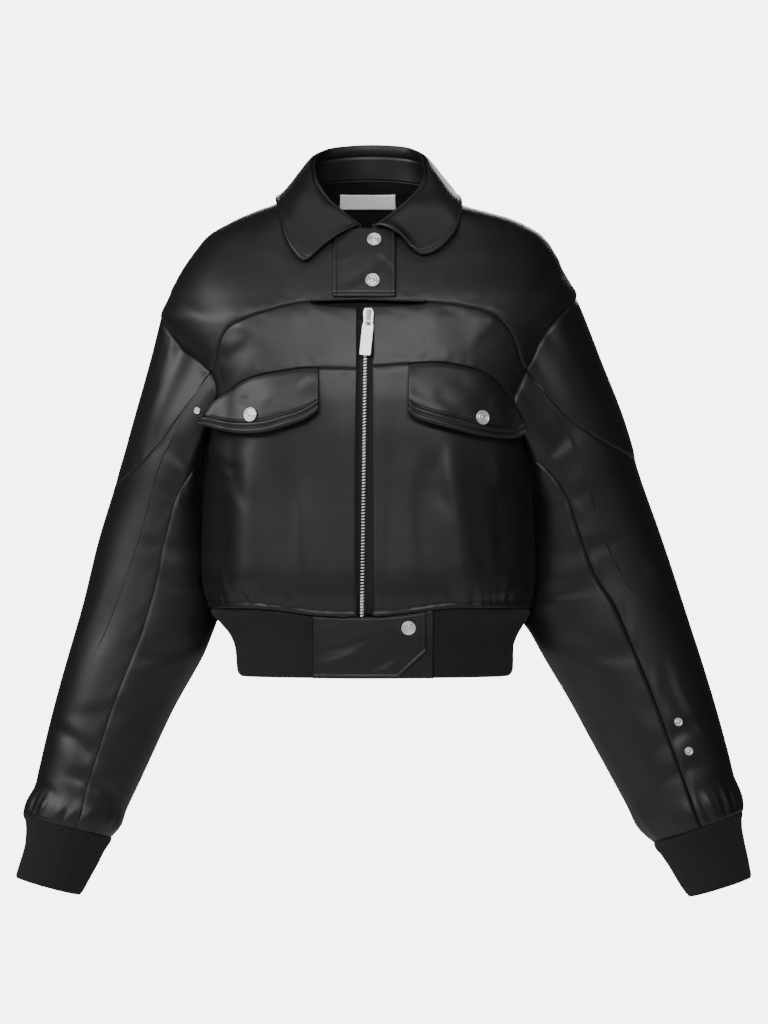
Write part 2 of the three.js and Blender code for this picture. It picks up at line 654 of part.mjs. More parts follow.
// Half width of the body or the band at a depth y and a height z
function torsoHalf(side, y, z) {
  const rows = z < HEM.z ? BAND : BODY;
  const deep = lookup(rows, 'z', y < 0 ? 'front' : 'back', z);
  const square = lookup(rows, 'z', 'square', z);
  const ratio = Math.min(Math.abs(y) / deep, 1);
  return lookup(rows, 'z', side.sign < 0 ? 'left' : 'right', z) * (1 - ratio ** square) ** (1 / square);
}

// Sleeve: rings that start at the armhole seam, kept clear of the body beside them
function sleevePoint(side, around, t) {
  const point = sleeveRing(side, t, around);
  if (t < ARM_BLEND_END) {
    const place = armPlace(side, around);
    const seam = bodyPoint(place.u, place.v);
    const keep = (1 - t / ARM_BLEND_END) ** 2;
    point.add(seam.sub(sleeveRing(side, 0, around)).multiplyScalar(keep));
  }
  const underZ = side.arm[0].z;
  if (point.z < underZ) {
    const clear = TORSO_CLEARANCE * Math.min((underZ - point.z) / 20, 1);
    const limit = torsoHalf(side, point.y, point.z) + clear;
    if (Math.abs(point.x) < limit) point.x = side.sign * limit;
  }
  return point;
}

function sleeveSlope(side, around, t) {
  const turn = 0.03;
  const run = 0.006;
  const before = Math.max(t - run, 0);
  const down = sleevePoint(side, around, before + 2 * run).sub(sleevePoint(side, around, before));
  const across = sleevePoint(side, around + turn, t).sub(sleevePoint(side, around - turn, t));
  return down.cross(across).multiplyScalar(-side.sign).normalize();
}

// Normal on the armhole seam: body and sleeve share it, but part ways towards the underarm
function armNormal(side, around, ofBody) {
  const place = armPlace(side, around);
  const body = bodyNormal(place.u, place.v);
  const sleeve = sleeveSlope(side, around, 0);
  const part = ((1 - Math.cos(around)) / 2) ** 4;
  const normal = ofBody ? body.addScaledVector(sleeve, 1 - part) : sleeve.addScaledVector(body, 1 - part);
  normal.z -= UNDERARM_LEAN * part;
  return normal.normalize();
}

// Normal of the sleeve, which eases into the shared one near the armhole
function sleeveNormal(side, around, t) {
  const own = sleeveSlope(side, around, t);
  if (t >= NORMAL_EASE) return own;
  return armNormal(side, around, false).lerp(own, smooth(0, NORMAL_EASE, t)).normalize();
}

// Places on the armhole seam between two angles
function armSeam(side, from, to, steps) {
  const places = [];
  for (let k = 0; k <= steps; k += 1) {
    const around = mix(from, to, k / steps);
    const normal = armNormal(side, around, true);
    places.push({ ...armPlace(side, around), around, normal, ofSleeve: armNormal(side, around, false) });
  }
  return places;
}

const joined = (...runs) => runs.flatMap((run, k) => (k === 0 ? run : run.slice(1)));
const reversed = (run) => [...run].reverse();

function aroundAtHeight(side, z) {
  const top = side.arm[side.arm.length - 1].z;
  const low = side.arm[0].z;
  return Math.acos(1 - (2 * (top - z)) / (top - low));
}

// The armhole seam in stretches: shoulder to yoke seam, to flap seam, to long sleeve seam, to underarm
function armStretches(side, back) {
  const turn = back ? -1 : 1;
  const yoke = aroundAtHeight(side, side.yokeEndZ);
  const flap = aroundAtHeight(side, side.flapEndZ);
  const long = side.longSeam[0].around * DEGREE;
  const run = (from, to, steps) => armSeam(side, turn * from, turn * to, steps);
  return {
    upper: run(0, yoke, STEPS.armUpper),
    middle: run(yoke, flap, STEPS.armMiddle),
    lower: run(flap, long, STEPS.armLower),
    under: run(long, Math.PI - 1e-7, STEPS.armUnder),
  };
}

// Shoulder seam from the neck to the shoulder point, on the ridge between front and back
function shoulderSeam(side) {
  const end = side.arm[side.arm.length - 1].z;
  const ridge = side.sign < 0 ? Math.PI : 0;
  const places = [];
  for (let k = 0; k <= STEPS.shoulder; k += 1) {
    const share = (k / STEPS.shoulder) ** 1.8;
    places.push({ u: ridge, v: mix(NECK.shoulderZ, end, share) });
  }
  return places;
}

function neckPlace(turn) {
  const cos = Math.cos(turn);
  const rise = cos > 0 ? NECK.shoulderZ - NECK.frontZ : NECK.shoulderZ - NECK.backZ;
  const base = cos > 0 ? NECK.frontZ : NECK.backZ;
  const z = base + rise * (1 - Math.abs(cos));
  const x = -NECK.half * Math.sin(turn);
  return bodyPlace(x, z, cos < 0);
}

function neckSeam(from, to, steps) {
  const places = [];
  for (let k = 0; k <= steps; k += 1) places.push(neckPlace(mix(from, to, k / steps)));
  return places;
}

function hemZ(angle) {
  const point = ringPoint(BODY, angle, HEM.z);
  if (point.y > 0) return HEM.z;
  return HEM.z - HEM.dip * (1 - smooth(HEM.flatTo, HEM.endsAt, Math.abs(point.x - HEM.dipX)));
}

function hemSeam(from, to, steps) {
  const places = [];
  for (let k = 0; k <= steps; k += 1) {
    const angle = mix(from, to, k / steps);
    places.push({ u: angle, v: hemZ(angle) });
  }
  return places;
}

function straight(from, to, steps) {
  const places = [];
  for (let k = 0; k <= steps; k += 1) {
    const share = k / steps;
    places.push({ u: mix(from.u, to.u, share), v: mix(from.v, to.v, share) });
  }
  return places;
}

function edgeAtX(x, fromZ, toZ, steps) {
  const places = [];
  for (let k = 0; k <= steps; k += 1) places.push(bodyPlace(x, mix(fromZ, toZ, k / steps)));
  return places;
}

// Seam tables run out from the middle of the front, and end on the armhole seam
function seamPlaces(side, rows, endPlace, steps) {
  const end = bodyPoint(endPlace.u, endPlace.v);
  const all = [...rows, { out: Math.abs(end.x), z: end.z }];
  const places = spaced(all, ['out', 'z'], steps).map((row) => bodyPlace(side.sign * row.out, row.z));
  places[steps] = endPlace;
  return places;
}

// Edges of the slit below the neck tab: the yoke's edge is straight, the chest's edge sags
function slitEdge(side, fromX, sag) {
  const { out, z, dip } = side.slit;
  const places = [];
  for (let k = 0; k <= STEPS.slit; k += 1) {
    const x = mix(fromX, out, k / STEPS.slit);
    const sagged = dip * Math.cos((Math.PI / 2) * (x / out)) ** SLIT.sagShape;
    const drop = sag ? sagged : -SLIT.rise * (1 - x / out);
    places.push(bodyPlace(side.sign * Math.max(x, 0.001), z - drop));
  }
  return places;
}

const ARMS = {};
for (const [name, side] of Object.entries(SIDES)) {
  ARMS[name] = { front: armStretches(side, false), back: armStretches(side, true) };
}

function frontPanels(name, side) {
  const arm = ARMS[name].front;
  const yokeSeam = seamPlaces(side, side.yokeSeam, arm.upper[STEPS.armUpper], STEPS.yokeSeam);
  const yokeLow = joined(slitEdge(side, 0, false), yokeSeam);
  const chestHigh = joined(slitEdge(side, side.zipX, true), yokeSeam);
  const flapSeam = seamPlaces(side, side.flapSeam, arm.middle[STEPS.armMiddle], ACROSS);
  const frontEdge = edgeAtX(side.sign * 0.001, yokeLow[0].v, NECK.frontZ, STEPS.frontEdge);
  const quarter = (-side.sign * Math.PI) / 2;
  const neck = neckSeam(0, quarter, STEPS.neckFront);
  neck[STEPS.neckFront] = shoulderSeam(side)[0];
  const ridge = side.sign < 0 ? Math.PI : 0;
  add(`front_yoke_${name}`, bodyPanel(fill(
    yokeLow, shoulderSeam(side), joined(frontEdge, neck), reversed(arm.upper),
  )), SATIN);
  add(`chest_${name}`, bodyPanel(fill(
    flapSeam, chestHigh,
    edgeAtX(side.sign * side.zipX, flapSeam[0].v, chestHigh[0].v, STEPS.armMiddle), reversed(arm.middle),
  )), SATIN);
  const hemStart = angleAt(BODY, side.sign * side.zipX, HEM.z);
  const hem = hemSeam(hemStart, ridge, ACROSS);
  const rise = STEPS.side + STEPS.armLower + STEPS.armUnder;
  const underarm = arm.under[STEPS.armUnder];
  const sideEdge = straight(hem[ACROSS], underarm, STEPS.side);
  const outside = joined(sideEdge, reversed(arm.under), reversed(arm.lower));
  outside[STEPS.side] = { ...underarm, underarm: true };
  add(`lower_front_${name}`, bodyPanel(fill(
    hem, flapSeam, edgeAtX(side.sign * side.zipX, hem[0].v, flapSeam[0].v, rise), outside,
  )), SATIN);
}

function backPanel() {
  const { left, right } = SIDES;
  const whole = (place) => (place.u < 1e-6 ? { ...place, u: 2 * Math.PI } : place);
  const edge = (name) => {
    const arm = ARMS[name].back;
    const ridge = SIDES[name].sign < 0 ? Math.PI : 2 * Math.PI;
    const underarm = { ...arm.under[STEPS.armUnder], u: ridge };
    const low = straight({ u: ridge, v: HEM.z }, underarm, STEPS.side);
    const armhole = [arm.under, arm.lower, arm.middle, arm.upper].map(reversed);
    const rise = joined(low, ...armhole);
    rise[STEPS.side] = { ...underarm, underarm: true };
    return rise.map(whole);
  };
  const neck = neckSeam(Math.PI / 2, (3 * Math.PI) / 2, STEPS.neckBack).map(whole);
  neck[0] = { u: Math.PI, v: NECK.shoulderZ };
  neck[STEPS.neckBack] = { u: 2 * Math.PI, v: NECK.shoulderZ };
  const high = joined(reversed(shoulderSeam(left)), neck, shoulderSeam(right).map(whole));
  const first = edge('left');
  const last = edge('right');
  high[0] = first[first.length - 1];
  high[high.length - 1] = last[last.length - 1];
  const low = straight({ u: Math.PI, v: HEM.z }, { u: 2 * Math.PI, v: HEM.z }, high.length - 1);
  add('back', bodyPanel(fill(low, high, first, last)), SATIN);
}

// Sleeve panels, on a grid of angle round the sleeve and length along it
function sleevePanels(name, side) {
  const { front, back } = ARMS[name];
  const onArm = (run) => run.map((place) => ({ u: place.around, v: 0, normal: place.ofSleeve }));
  const cloth = (grid) => panel(grid, (u, v) => sleevePoint(side, u, v), (u, v) => sleeveNormal(side, u, v));
  const half = spaced(side.capSeam, ['around', 't'], STEPS.armUpper);
  const capFront = half.map((row) => ({ u: row.around * DEGREE, v: row.t }));
  capFront[0] = onArm(front.upper)[STEPS.armUpper];
  const capBack = capFront.map((place) => ({ ...place, u: -place.u }));
  capBack[0] = onArm(back.upper)[STEPS.armUpper];
  const capSeam = joined(capFront, reversed(capBack));
  const capTop = onArm(joined(reversed(front.upper), back.upper));
  const capRows = [];
  for (let j = 0; j <= STEPS.cap; j += 1) {
    const t = j / STEPS.cap;
    const between = (high, low) => ({ u: mix(high.u, low.u, t), v: mix(high.v, low.v, t) });
    const row = capTop.map((high, i) => between(high, capSeam[i]));
    const last = row.length - 1;
    const blunt = (end, next) => ({ ...end, between: [end, next] });
    capRows.push([blunt(row[0], row[1]), ...row.slice(1, last), blunt(row[last], row[last - 1])]);
  }
  add(`sleeve_cap_${name}`, cloth(capRows), SATIN);
  const longSeam = SLEEVE_ROWS.map((t) => ({ u: lookup(side.longSeam, 't', 'around', t) * DEGREE, v: t }));
  const upperTop = joined(
    onArm(reversed(front.lower)), onArm(reversed(front.middle)), capSeam,
    onArm(back.middle), onArm(back.lower),
  );
  const seamFront = [upperTop[0], ...longSeam.slice(1)];
  const seamBack = [
    upperTop[upperTop.length - 1], ...longSeam.slice(1).map((place) => ({ ...place, u: -place.u })),
  ];
  const wrist = longSeam[longSeam.length - 1].u;
  const capStart = capSeam[0].u;
  const longStart = upperTop[0].u;
  // Columns that start on the cap seam narrow towards the wrist, the others spread out to the long seam
  const upperRows = SLEEVE_ROWS.map((t, j) => upperTop.map((place, i) => {
    if (j === 0) return place;
    if (i === 0) return seamFront[j];
    if (i === upperTop.length - 1) return seamBack[j];
    const narrow = mix(1, CAP_NARROWING, smooth(0.1, 1, t));
    const v = mix(place.v, 1, t);
    const beyond = (Math.abs(place.u) - capStart) / (longStart - capStart);
    if (beyond <= 0) return { u: place.u * narrow, v };
    return { u: Math.sign(place.u) * mix(capStart * narrow, seamFront[j].u, beyond), v };
  }));
  add(`sleeve_upper_${name}`, cloth(upperRows), SATIN);
  const full = 2 * Math.PI;
  const turned = (run) => run.map((place) => ({ ...place, u: place.u + full }));
  const underTop = joined(onArm(front.under), turned(onArm(reversed(back.under))));
  const underLow = straight({ u: wrist, v: 1 }, { u: full - wrist, v: 1 }, underTop.length - 1);
  add(`sleeve_under_${name}`, cloth(fill(underTop, underLow, seamFront, turned(seamBack))), SATIN);
}

// Ribbed cuff: rings below the sleeve's end, ribs raised on the outside only
function cuff(name, side) {
  const last = side.sleeve[side.sleeve.length - 1];
  const step = { x: side.cuff[0].outX - last.outX, z: side.cuff[0].outZ - last.outZ };
  const reach = SEAM_GAP / Math.hypot(step.x, step.z);
  const top = { ...last };
  for (const key of ['outX', 'outZ', 'inX', 'inZ', 'front', 'back', 'mid']) {
    top[key] = mix(last[key], side.cuff[0][key], reach * CUFF_RIB.topGap);
  }
  const rows = [top, ...side.cuff];
  const ring = (row, count, ribbed) => {
    const points = [];
    for (let i = 0; i <= count; i += 1) {
      const around = (2 * Math.PI * i) / count;
      const share = (1 - Math.cos(around)) / 2;
      const deep = Math.sin(around) >= 0 ? row.front : row.back;
      const inset = ribbed ? (i % 2) * CUFF_RIB.height : CLOTH + CUFF_RIB.height;
      const centre = new THREE.Vector3(
        (side.sign * (row.outX + row.inX)) / 2, row.mid, (row.outZ + row.inZ) / 2,
      );
      const x = side.sign * mix(row.outX, row.inX, share);
      const point = new THREE.Vector3(x, row.mid - deep * Math.sin(around), mix(row.outZ, row.inZ, share));
      points.push(point.addScaledVector(point.clone().sub(centre).normalize(), -inset));
    }
    return points;
  };
  const many = 2 * CUFF_RIB.ribs;
  const outer = rows.map((row) => ring(row, many, true));
  const inner = rows.map((row) => ring(row, many / CUFF_RIB.perPlain, false));
  add(`cuff_${name}`, wall(outer, inner, true), RIB);
}

// Ribbed band: the left, back and right stretch, ribs raised on the outside only
function hemRibs() {
  const leftEnd = (z) => angleAt(BAND, HEM_TAB.left - HEM_RIB.leftGap, z);
  const rightEnd = (z) => 2 * Math.PI + angleAt(BAND, UNDERLAP.right + HEM_RIB.rightGap, z);
  const leftSide = () => Math.PI;
  const rightSide = () => 2 * Math.PI;
  const stretches = [
    { name: 'hem_rib_left', from: leftEnd, to: leftSide, ribs: HEM_RIB.left },
    { name: 'hem_rib_back', from: leftSide, to: rightSide, ribs: HEM_RIB.back },
    { name: 'hem_rib_right', from: rightSide, to: rightEnd, ribs: HEM_RIB.right },
  ];
  const { trim, levels } = HEM_RIB;
  for (const { name, from, to, ribs } of stretches) {
    const many = 2 * ribs;
    const line = (share, count, ribbed) => {
      const points = [];
      for (let i = 0; i <= count; i += 1) {
        const level = mix(HEM.z, BAND_END_Z, share);
        const angle = mix(from(level) + trim, to(level) - trim, i / count);
        const z = mix(hemZ(angle) - SEAM_GAP * 1.3, BAND_END_Z, share);
        const inset = ribbed ? (i % 2) * HEM_RIB.height : CLOTH + HEM_RIB.height;
        points.push(bandPoint(angle, z).addScaledVector(ringNormal(bandPoint, angle, z), -inset));
      }
      return points;
    };
    const outer = levels.map((share) => line(share, many, true));
    const inner = levels.map((share) => line(share, many / HEM_RIB.perPlain, false));
    add(name, wall(outer, inner), RIB);
  }
}

// Patch that lies on a ringed form, moved out by a lift that may change over it
function patch(rows, surface, xs, zAt, lift, thick) {
  const outer = [];
  const inner = [];
  const levels = zAt(xs[0]).length;
  for (let j = 0; j < levels; j += 1) {
    const places = xs.map((x) => {
      const z = zAt(x)[j];
      const angle = angleAt(rows, x, z);
      return { point: surface(angle, z), normal: ringNormal(surface, angle, z), x, z };
    });
    const high = (place) => (typeof lift === 'function' ? lift(place.x, place.z) : lift);
    outer.push(places.map((p) => p.point.clone().addScaledVector(p.normal, high(p) + thick)));
    inner.push(places.map((p) => p.point.clone().addScaledVector(p.normal, high(p))));
  }
  return wall(outer, inner);
}

function stepsBetween(from, to, steps) {
  return Array.from({ length: steps + 1 }, (_, k) => mix(from, to, k / steps));
}

function neckTab() {
  const { left, right, low, high, across, up, lift } = NECK_TAB;
  const heights = stepsBetween(low, high, up);
  const xs = stepsBetween(left, right, across);
  add('neck_tab', patch(BODY, bodyPoint, xs, () => heights, lift, FOLDED_CLOTH), SATIN);
}

function slitUnderlay() {
  const { left, right, low, high, across, up, depth, thick } = UNDERLAY;
  const heights = stepsBetween(low, high, up);
  const xs = stepsBetween(left, right, across);
  add('slit_underlay', patch(BODY, bodyPoint, xs, () => heights, -CLOTH - depth - thick, thick), SATIN);
}

// Piping along the yoke's edge above the slit
function slitPiping() {
  const { radius, rise, steps } = PIPING;
  const path = [];
  for (const side of [SIDES.left, SIDES.right]) {
    const run = slitEdge(side, 0, false).map((place) => {
      const point = bodyPoint(place.u, place.v);
      point.addScaledVector(bodyNormal(place.u, place.v), radius + LAY_GAP);
      point.z += rise;
      return point;
    });
    path.push(...(side.sign < 0 ? reversed(run) : run.slice(1)));
  }
  const section = new THREE.Shape();
  section.absarc(0, 0, radius, 0, 2 * Math.PI);
  const geometry = new THREE.ExtrudeGeometry(section, {
    extrudePath: new THREE.CatmullRomCurve3(path), steps, curveSegments: 4, bevelEnabled: false,
  });
  add('slit_piping', geometry, SATIN);
}

function label() {
  const outer = [];
  const inner = [];
  for (const z of [LABEL.low, LABEL.high]) {
    const places = stepsBetween(LABEL.left, LABEL.right, 4).map((x) => bodyPlace(x, z, true));
    const at = ({ u, v }, depth) => bodyPoint(u, v).addScaledVector(bodyNormal(u, v), -depth);
    outer.push(places.map((place) => at(place, CLOTH + LABEL.depth)));
    inner.push(places.map((place) => at(place, CLOTH + LABEL.depth + LABEL.thick)));
  }
  add('label', wall(outer, inner), LABEL_CLOTH);
}

// Satin tab at the middle of the hem, and the underlap that its right end is snapped to
function hemTab() {
  const { left, right, cornerX, low, cornerZ, overlapFrom, overlapTo, up } = HEM_TAB;
  const top = (x) => hemZ(angleAt(BODY, x, HEM.z)) - SEAM_GAP * 1.4;
  const bottom = (x) => (x < cornerX ? low : mix(low, cornerZ, (x - cornerX) / (right - cornerX)));
  const xs = [...stepsBetween(left, cornerX, 6), ...stepsBetween(cornerX, right, 2).slice(1)];
  const levels = (x) => stepsBetween(bottom(x), top(x), up);
  const over = (x) => FOLDED_CLOTH * smooth(overlapFrom, overlapTo, x);
  add('hem_tab', patch(BAND, bandPoint, xs, levels, over, FOLDED_CLOTH), SATIN);
  const under = (x) => stepsBetween(BAND_END_Z, top(x), up);
  const underXs = stepsBetween(UNDERLAP.left, UNDERLAP.right, 6);
  add('hem_underlap', patch(BAND, bandPoint, underXs, under, UNDERLAP.lift, CLOTH), SATIN);
}

// Pocket flap: hangs from the flap seam, its outer end reaches over the armhole
function flapBase(x, z) {
  const reach = FLAP.reach * smooth(FLAP.reachFrom, FLAP.reachTo, Math.abs(x));
  const half = lookup(BODY, 'z', x < 0 ? 'left' : 'right', z) + reach;
  const deep = lookup(BODY, 'z', 'front', z);
  const square = lookup(BODY, 'z', 'square', z);
  const ratio = Math.min(Math.abs(x) / half, 1);
  const y = -deep * (1 - ratio ** square) ** (1 / square);
  const point = new THREE.Vector3(x, y, z);
  const normal = new THREE.Vector3((x * Math.abs(x) ** (square - 2)) / half ** square, 0, 0);
  normal.y = (-1 * Math.abs(y) ** (square - 1)) / deep ** square;
  point.y -= foldHeight(point);
  return { point, normal: normal.normalize() };
}

function flapPoint(side, curves, across, down, outside) {
  const high = curves.high[across];
  const low = curves.low[across];
  const x = side.sign * mix(high.out, low.out, down);
  const base = flapBase(x, mix(high.z, low.z, down));
  const lift = lookup(FLAP_PROFILE, 'down', 'lift', down);
  const thick = outside ? lookup(FLAP_PROFILE, 'down', 'thick', down) : 0;
  return { point: base.point.addScaledVector(base.normal, lift + thick), normal: base.normal };
}

function flapCurves(side) {
  return {
    high: spaced(side.flapTop, ['out', 'z'], FLAP.across),
    low: spaced(side.flapLow, ['out', 'z'], FLAP.across),
  };
}

function pocketFlap(name, side) {
  const curves = flapCurves(side);
  const line = (down, outside) => curves.high.map((_, i) => flapPoint(side, curves, i, down, outside).point);
  const outer = FLAP_PROFILE.map((row) => line(row.down, true));
  const inner = FLAP_PROFILE.map((row) => line(row.down, false));
  add(`pocket_flap_${name}`, wall(outer, inner), SATIN);
}

// Point of the collar's fall, part of the way down from the roll to its edge
function collarPoint(row, down) {
  const roll = new THREE.Vector3(row.rollX, row.rollY, row.rollZ);
  const edge = new THREE.Vector3(row.edgeX, row.edgeY, row.edgeZ);
  const point = roll.clone().lerp(edge, down);
  const outward = new THREE.Vector3(row.rollX + row.edgeX, row.rollY + row.edgeY, FALL.lean).normalize();
  const arch = Math.sin(Math.PI * down ** FALL.bulgeShape);
  point.addScaledVector(outward, FALL.bulge * arch);
  point.z += row.bow * 4 * down * (1 - down);
  return point;
}

function gridNormals(points) {
  const rows = points.length - 1;
  const across = points[0].length - 1;
  return points.map((row, j) => row.map((_, i) => {
    const up = points[Math.min(j + 1, rows)][i].clone().sub(points[Math.max(j - 1, 0)][i]);
    const over = points[j][Math.min(i + 1, across)].clone().sub(points[j][Math.max(i - 1, 0)]);
    return up.cross(over).normalize();
  }));
}

function thickened(points, normals, thick) {
  return points.map((row, j) => row.map((point, i) => point.clone().addScaledVector(normals[j][i], thick)));
}

function collar() {
  const downs = stepsBetween(0, 1, FALL.steps);
  const fall = downs.map((down) => COLLAR.map((row) => collarPoint(row, down)));
  const outward = gridNormals(fall).map((row) => row.map((normal) => normal.negate()));
  const middle = outward[0][Math.floor(COLLAR.length / 2)];
  const sign = middle.y > 0 ? 1 : -1;
  add('collar_fall', wall(fall, thickened(fall, outward, -sign * FOLDED_CLOTH)), SATIN);
  const seamStep = Math.PI / 2 / STEPS.neckFront;
  const neckPoint = (k) => {
    const place = neckPlace(k * seamStep);
    return bodyPoint(place.u, place.v);
  };
  const stand = stepsBetween(0, 1, STAND.steps).map((up) => COLLAR.map((row) => {
    const at = (row.neck * DEGREE) / seamStep;
    const before = Math.floor(at);
    const low = neckPoint(before).lerp(neckPoint(before + 1), at - before);
    low.z += STAND.lift;
    const toCentre = new THREE.Vector3(-row.rollX, -row.rollY, 0).normalize();
    const top = new THREE.Vector3(row.rollX, row.rollY, row.rollZ).addScaledVector(toCentre, STAND.topInset);
    return low.lerp(top, up);
  }));
  const inward = gridNormals(stand);
  const facing = inward[0][Math.floor(COLLAR.length / 2)].y > 0 ? -1 : 1;
  add('collar_stand', wall(stand, thickened(stand, inward, facing * CLOTH)), SATIN);
}

// Zip tapes and chain, below the level of the cloth
function zip() {
  const chainX = (z) => mix(ZIP.topX, ZIP.lowX, (ZIP.chainTopZ - z) / (ZIP.chainTopZ - HEM.z));
  const lowZ = HEM.z - HEM.dip + 1;
  const lift = -CLOTH - ZIP.tapeDepth - TAPE;
  const strip = (name, edges, topZ, high, thick, look) => {
    const outer = [];
    const inner = [];
    for (const z of stepsBetween(lowZ, topZ, ZIP.steps)) {
      const angles = edges(z).map((x) => angleAt(BODY, x, z));
      const at = (angle, out) => bodyPoint(angle, z).addScaledVector(bodyNormal(angle, z), out);
      outer.push(angles.map((angle) => at(angle, high + thick)));
      inner.push(angles.map((angle) => at(angle, high)));
    }
    add(name, wall(outer, inner), look);
  };
  const clear = ZIP.chainHalf + SEAM_GAP;
  strip('zip_tape_left', (z) => [ZIP.leftTapeX, chainX(z) - clear], ZIP.topZ, lift, TAPE, TAPE_CLOTH);
  strip('zip_tape_right', (z) => [chainX(z) + clear, ZIP.rightTapeX], ZIP.topZ, lift, TAPE, TAPE_CLOTH);
  const half = ZIP.chainHalf;
  const below = ZIP.chainLift - ZIP.chainThick;
  const sides = (z) => [chainX(z) - half, chainX(z) + half];
  strip('zip_chain', sides, ZIP.chainTopZ, below, ZIP.chainThick, METAL);
}

function toManifold(geometry) {
  const bare = geometry.clone();
  bare.deleteAttribute('normal');
  bare.deleteAttribute('uv');
  const merged = mergeVertices(bare, 1e-4);
  return new manifold.Manifold(new manifold.Mesh({
    numProp: 3,
    vertProperties: new Float32Array(merged.attributes.position.array),
    triVerts: new Uint32Array(merged.index.array),
  }));
}

function fromManifold(solid) {
  const { vertProperties, triVerts } = solid.getMesh();
  const geometry = new THREE.BufferGeometry();
  geometry.setAttribute('position', new THREE.Float32BufferAttribute(vertProperties, 3));
  geometry.setIndex([...triVerts]);
  geometry.computeVertexNormals();
  return geometry;
}

// Outline in x and z, extruded from the depth y = front to y = back
function plate(shape, front, back) {
  const depth = back - front;
  const geometry = new THREE.ExtrudeGeometry(shape, { depth, bevelEnabled: false, curveSegments: 4 });
  return geometry.rotateX(Math.PI / 2).translate(0, back, 0);
}

// Slider and pull tab share a group that leans with the cloth, at the cloth's surface
function slider() {
  const angle = angleAt(BODY, SLIDER.x, SLIDER.z);
  const normal = bodyNormal(angle, SLIDER.z);
  const frame = new THREE.Group();
  frame.position.copy(bodyPoint(angle, SLIDER.z));
  frame.rotation.x = -Math.atan2(normal.z, -normal.y);
  group.add(frame);
  const { topHalf, lowHalf, topZ, lowZ, back, front, railHalf, railFront, lugHalf, axisY, axisZ } = SLIDER;
  const base = new THREE.Shape([
    new THREE.Vector2(-topHalf + 2, topZ), new THREE.Vector2(-topHalf, topZ - 4),
    new THREE.Vector2(-lowHalf, lowZ), new THREE.Vector2(lowHalf, lowZ),
    new THREE.Vector2(topHalf, topZ - 4), new THREE.Vector2(topHalf - 2, topZ),
  ]);
  const rail = (sign) => new THREE.Shape([
    new THREE.Vector2(sign * (topHalf - 2 * railHalf), topZ - 3.5),
    new THREE.Vector2(sign * (topHalf - 0.2), topZ - 4.4),
    new THREE.Vector2(sign * (lowHalf - 0.1), lowZ + 0.4),
    new THREE.Vector2(sign * (lowHalf - 2 * railHalf), lowZ + 0.4),
  ]);
  // Lug seen from the side: a bridge that runs down to an eye, whose bore holds the pull tab's bar
  const lug = new THREE.Shape();
  lug.moveTo(-front - 0.3, topZ - 1);
  lug.lineTo(-front + 1.2, topZ - 2);
  lug.lineTo(-axisY - 0.2, axisZ + SLIDER.lugRadius + 0.6);
  lug.absarc(-axisY, axisZ, SLIDER.lugRadius, Math.PI / 2, -Math.PI / 2, true);
  lug.lineTo(-front - 0.3, axisZ - SLIDER.lugRadius + 0.3);
  const bore = new THREE.Path();
  bore.absarc(-axisY, axisZ, SLIDER.boreRadius, 0, 2 * Math.PI);
  lug.holes.push(bore);
  const lugDepth = { depth: 2 * lugHalf, bevelEnabled: false, curveSegments: 12 };
  const lugGeometry = new THREE.ExtrudeGeometry(lug, lugDepth);
  const turn = new THREE.Matrix4().makeBasis(
    new THREE.Vector3(0, -1, 0), new THREE.Vector3(0, 0, 1), new THREE.Vector3(-1, 0, 0),
  );
  lugGeometry.applyMatrix4(turn).translate(lugHalf, 0, 0);
  const body = toManifold(plate(base, front, back))
    .add(toManifold(plate(rail(-1), railFront, front + 0.2)))
    .add(toManifold(plate(rail(1), railFront, front + 0.2)))
    .add(toManifold(lugGeometry));
  add('zip_slider', fromManifold(body), METAL, frame);
  const { neckHalf, half, barHalf, holeHalf, holeEnd, shoulder, length, corner, thick } = PULL;
  const tab = new THREE.Shape();
  tab.moveTo(-neckHalf, barHalf);
  tab.lineTo(-half, -shoulder);
  tab.lineTo(-half, -length + corner);
  tab.absarc(-half + corner, -length + corner, corner, Math.PI, 1.5 * Math.PI, false);
  tab.absarc(half - corner, -length + corner, corner, 1.5 * Math.PI, 2 * Math.PI, false);
  tab.lineTo(half, -shoulder);
  tab.lineTo(neckHalf, barHalf);
  tab.holes.push(new THREE.Path([
    new THREE.Vector2(-holeHalf, -barHalf), new THREE.Vector2(holeHalf, -barHalf),
    new THREE.Vector2(holeHalf, -holeEnd), new THREE.Vector2(-holeHalf, -holeEnd),
  ]));
  const pull = add('zip_pull', plate(tab, -thick / 2, thick / 2), METAL, frame);
  pull.position.set(0, axisY, axisZ);
  pull.rotation.y = PULL.turn * DEGREE;
}

// Round cap: a low domed disc that stands on a surface
function cap(name, point, normal, radius, height) {
  const outline = [
    [0, 0], [0.93, 0], [1, 0.3], [0.97, 0.75], [0.84, 1], [0.62, 0.82], [0, 0.9],
  ].map(([r, h]) => new THREE.Vector2(r * radius, h * height));
  const mesh = add(name, new THREE.LatheGeometry(outline, radius > 6 ? 16 : 10), METAL);
  mesh.quaternion.setFromUnitVectors(new THREE.Vector3(0, 1, 0), normal);
  mesh.position.copy(point).addScaledVector(normal, LAY_GAP);
}

function capOn(name, rows, surface, place, lift) {
  const angle = angleAt(rows, place.x, place.z);
  const normal = ringNormal(surface, angle, place.z);
  const seat = surface(angle, place.z).addScaledVector(normal, lift + FOLDED_CLOTH + CAP.seat);
  cap(name, seat, normal, CAP.radius, CAP.height);
}

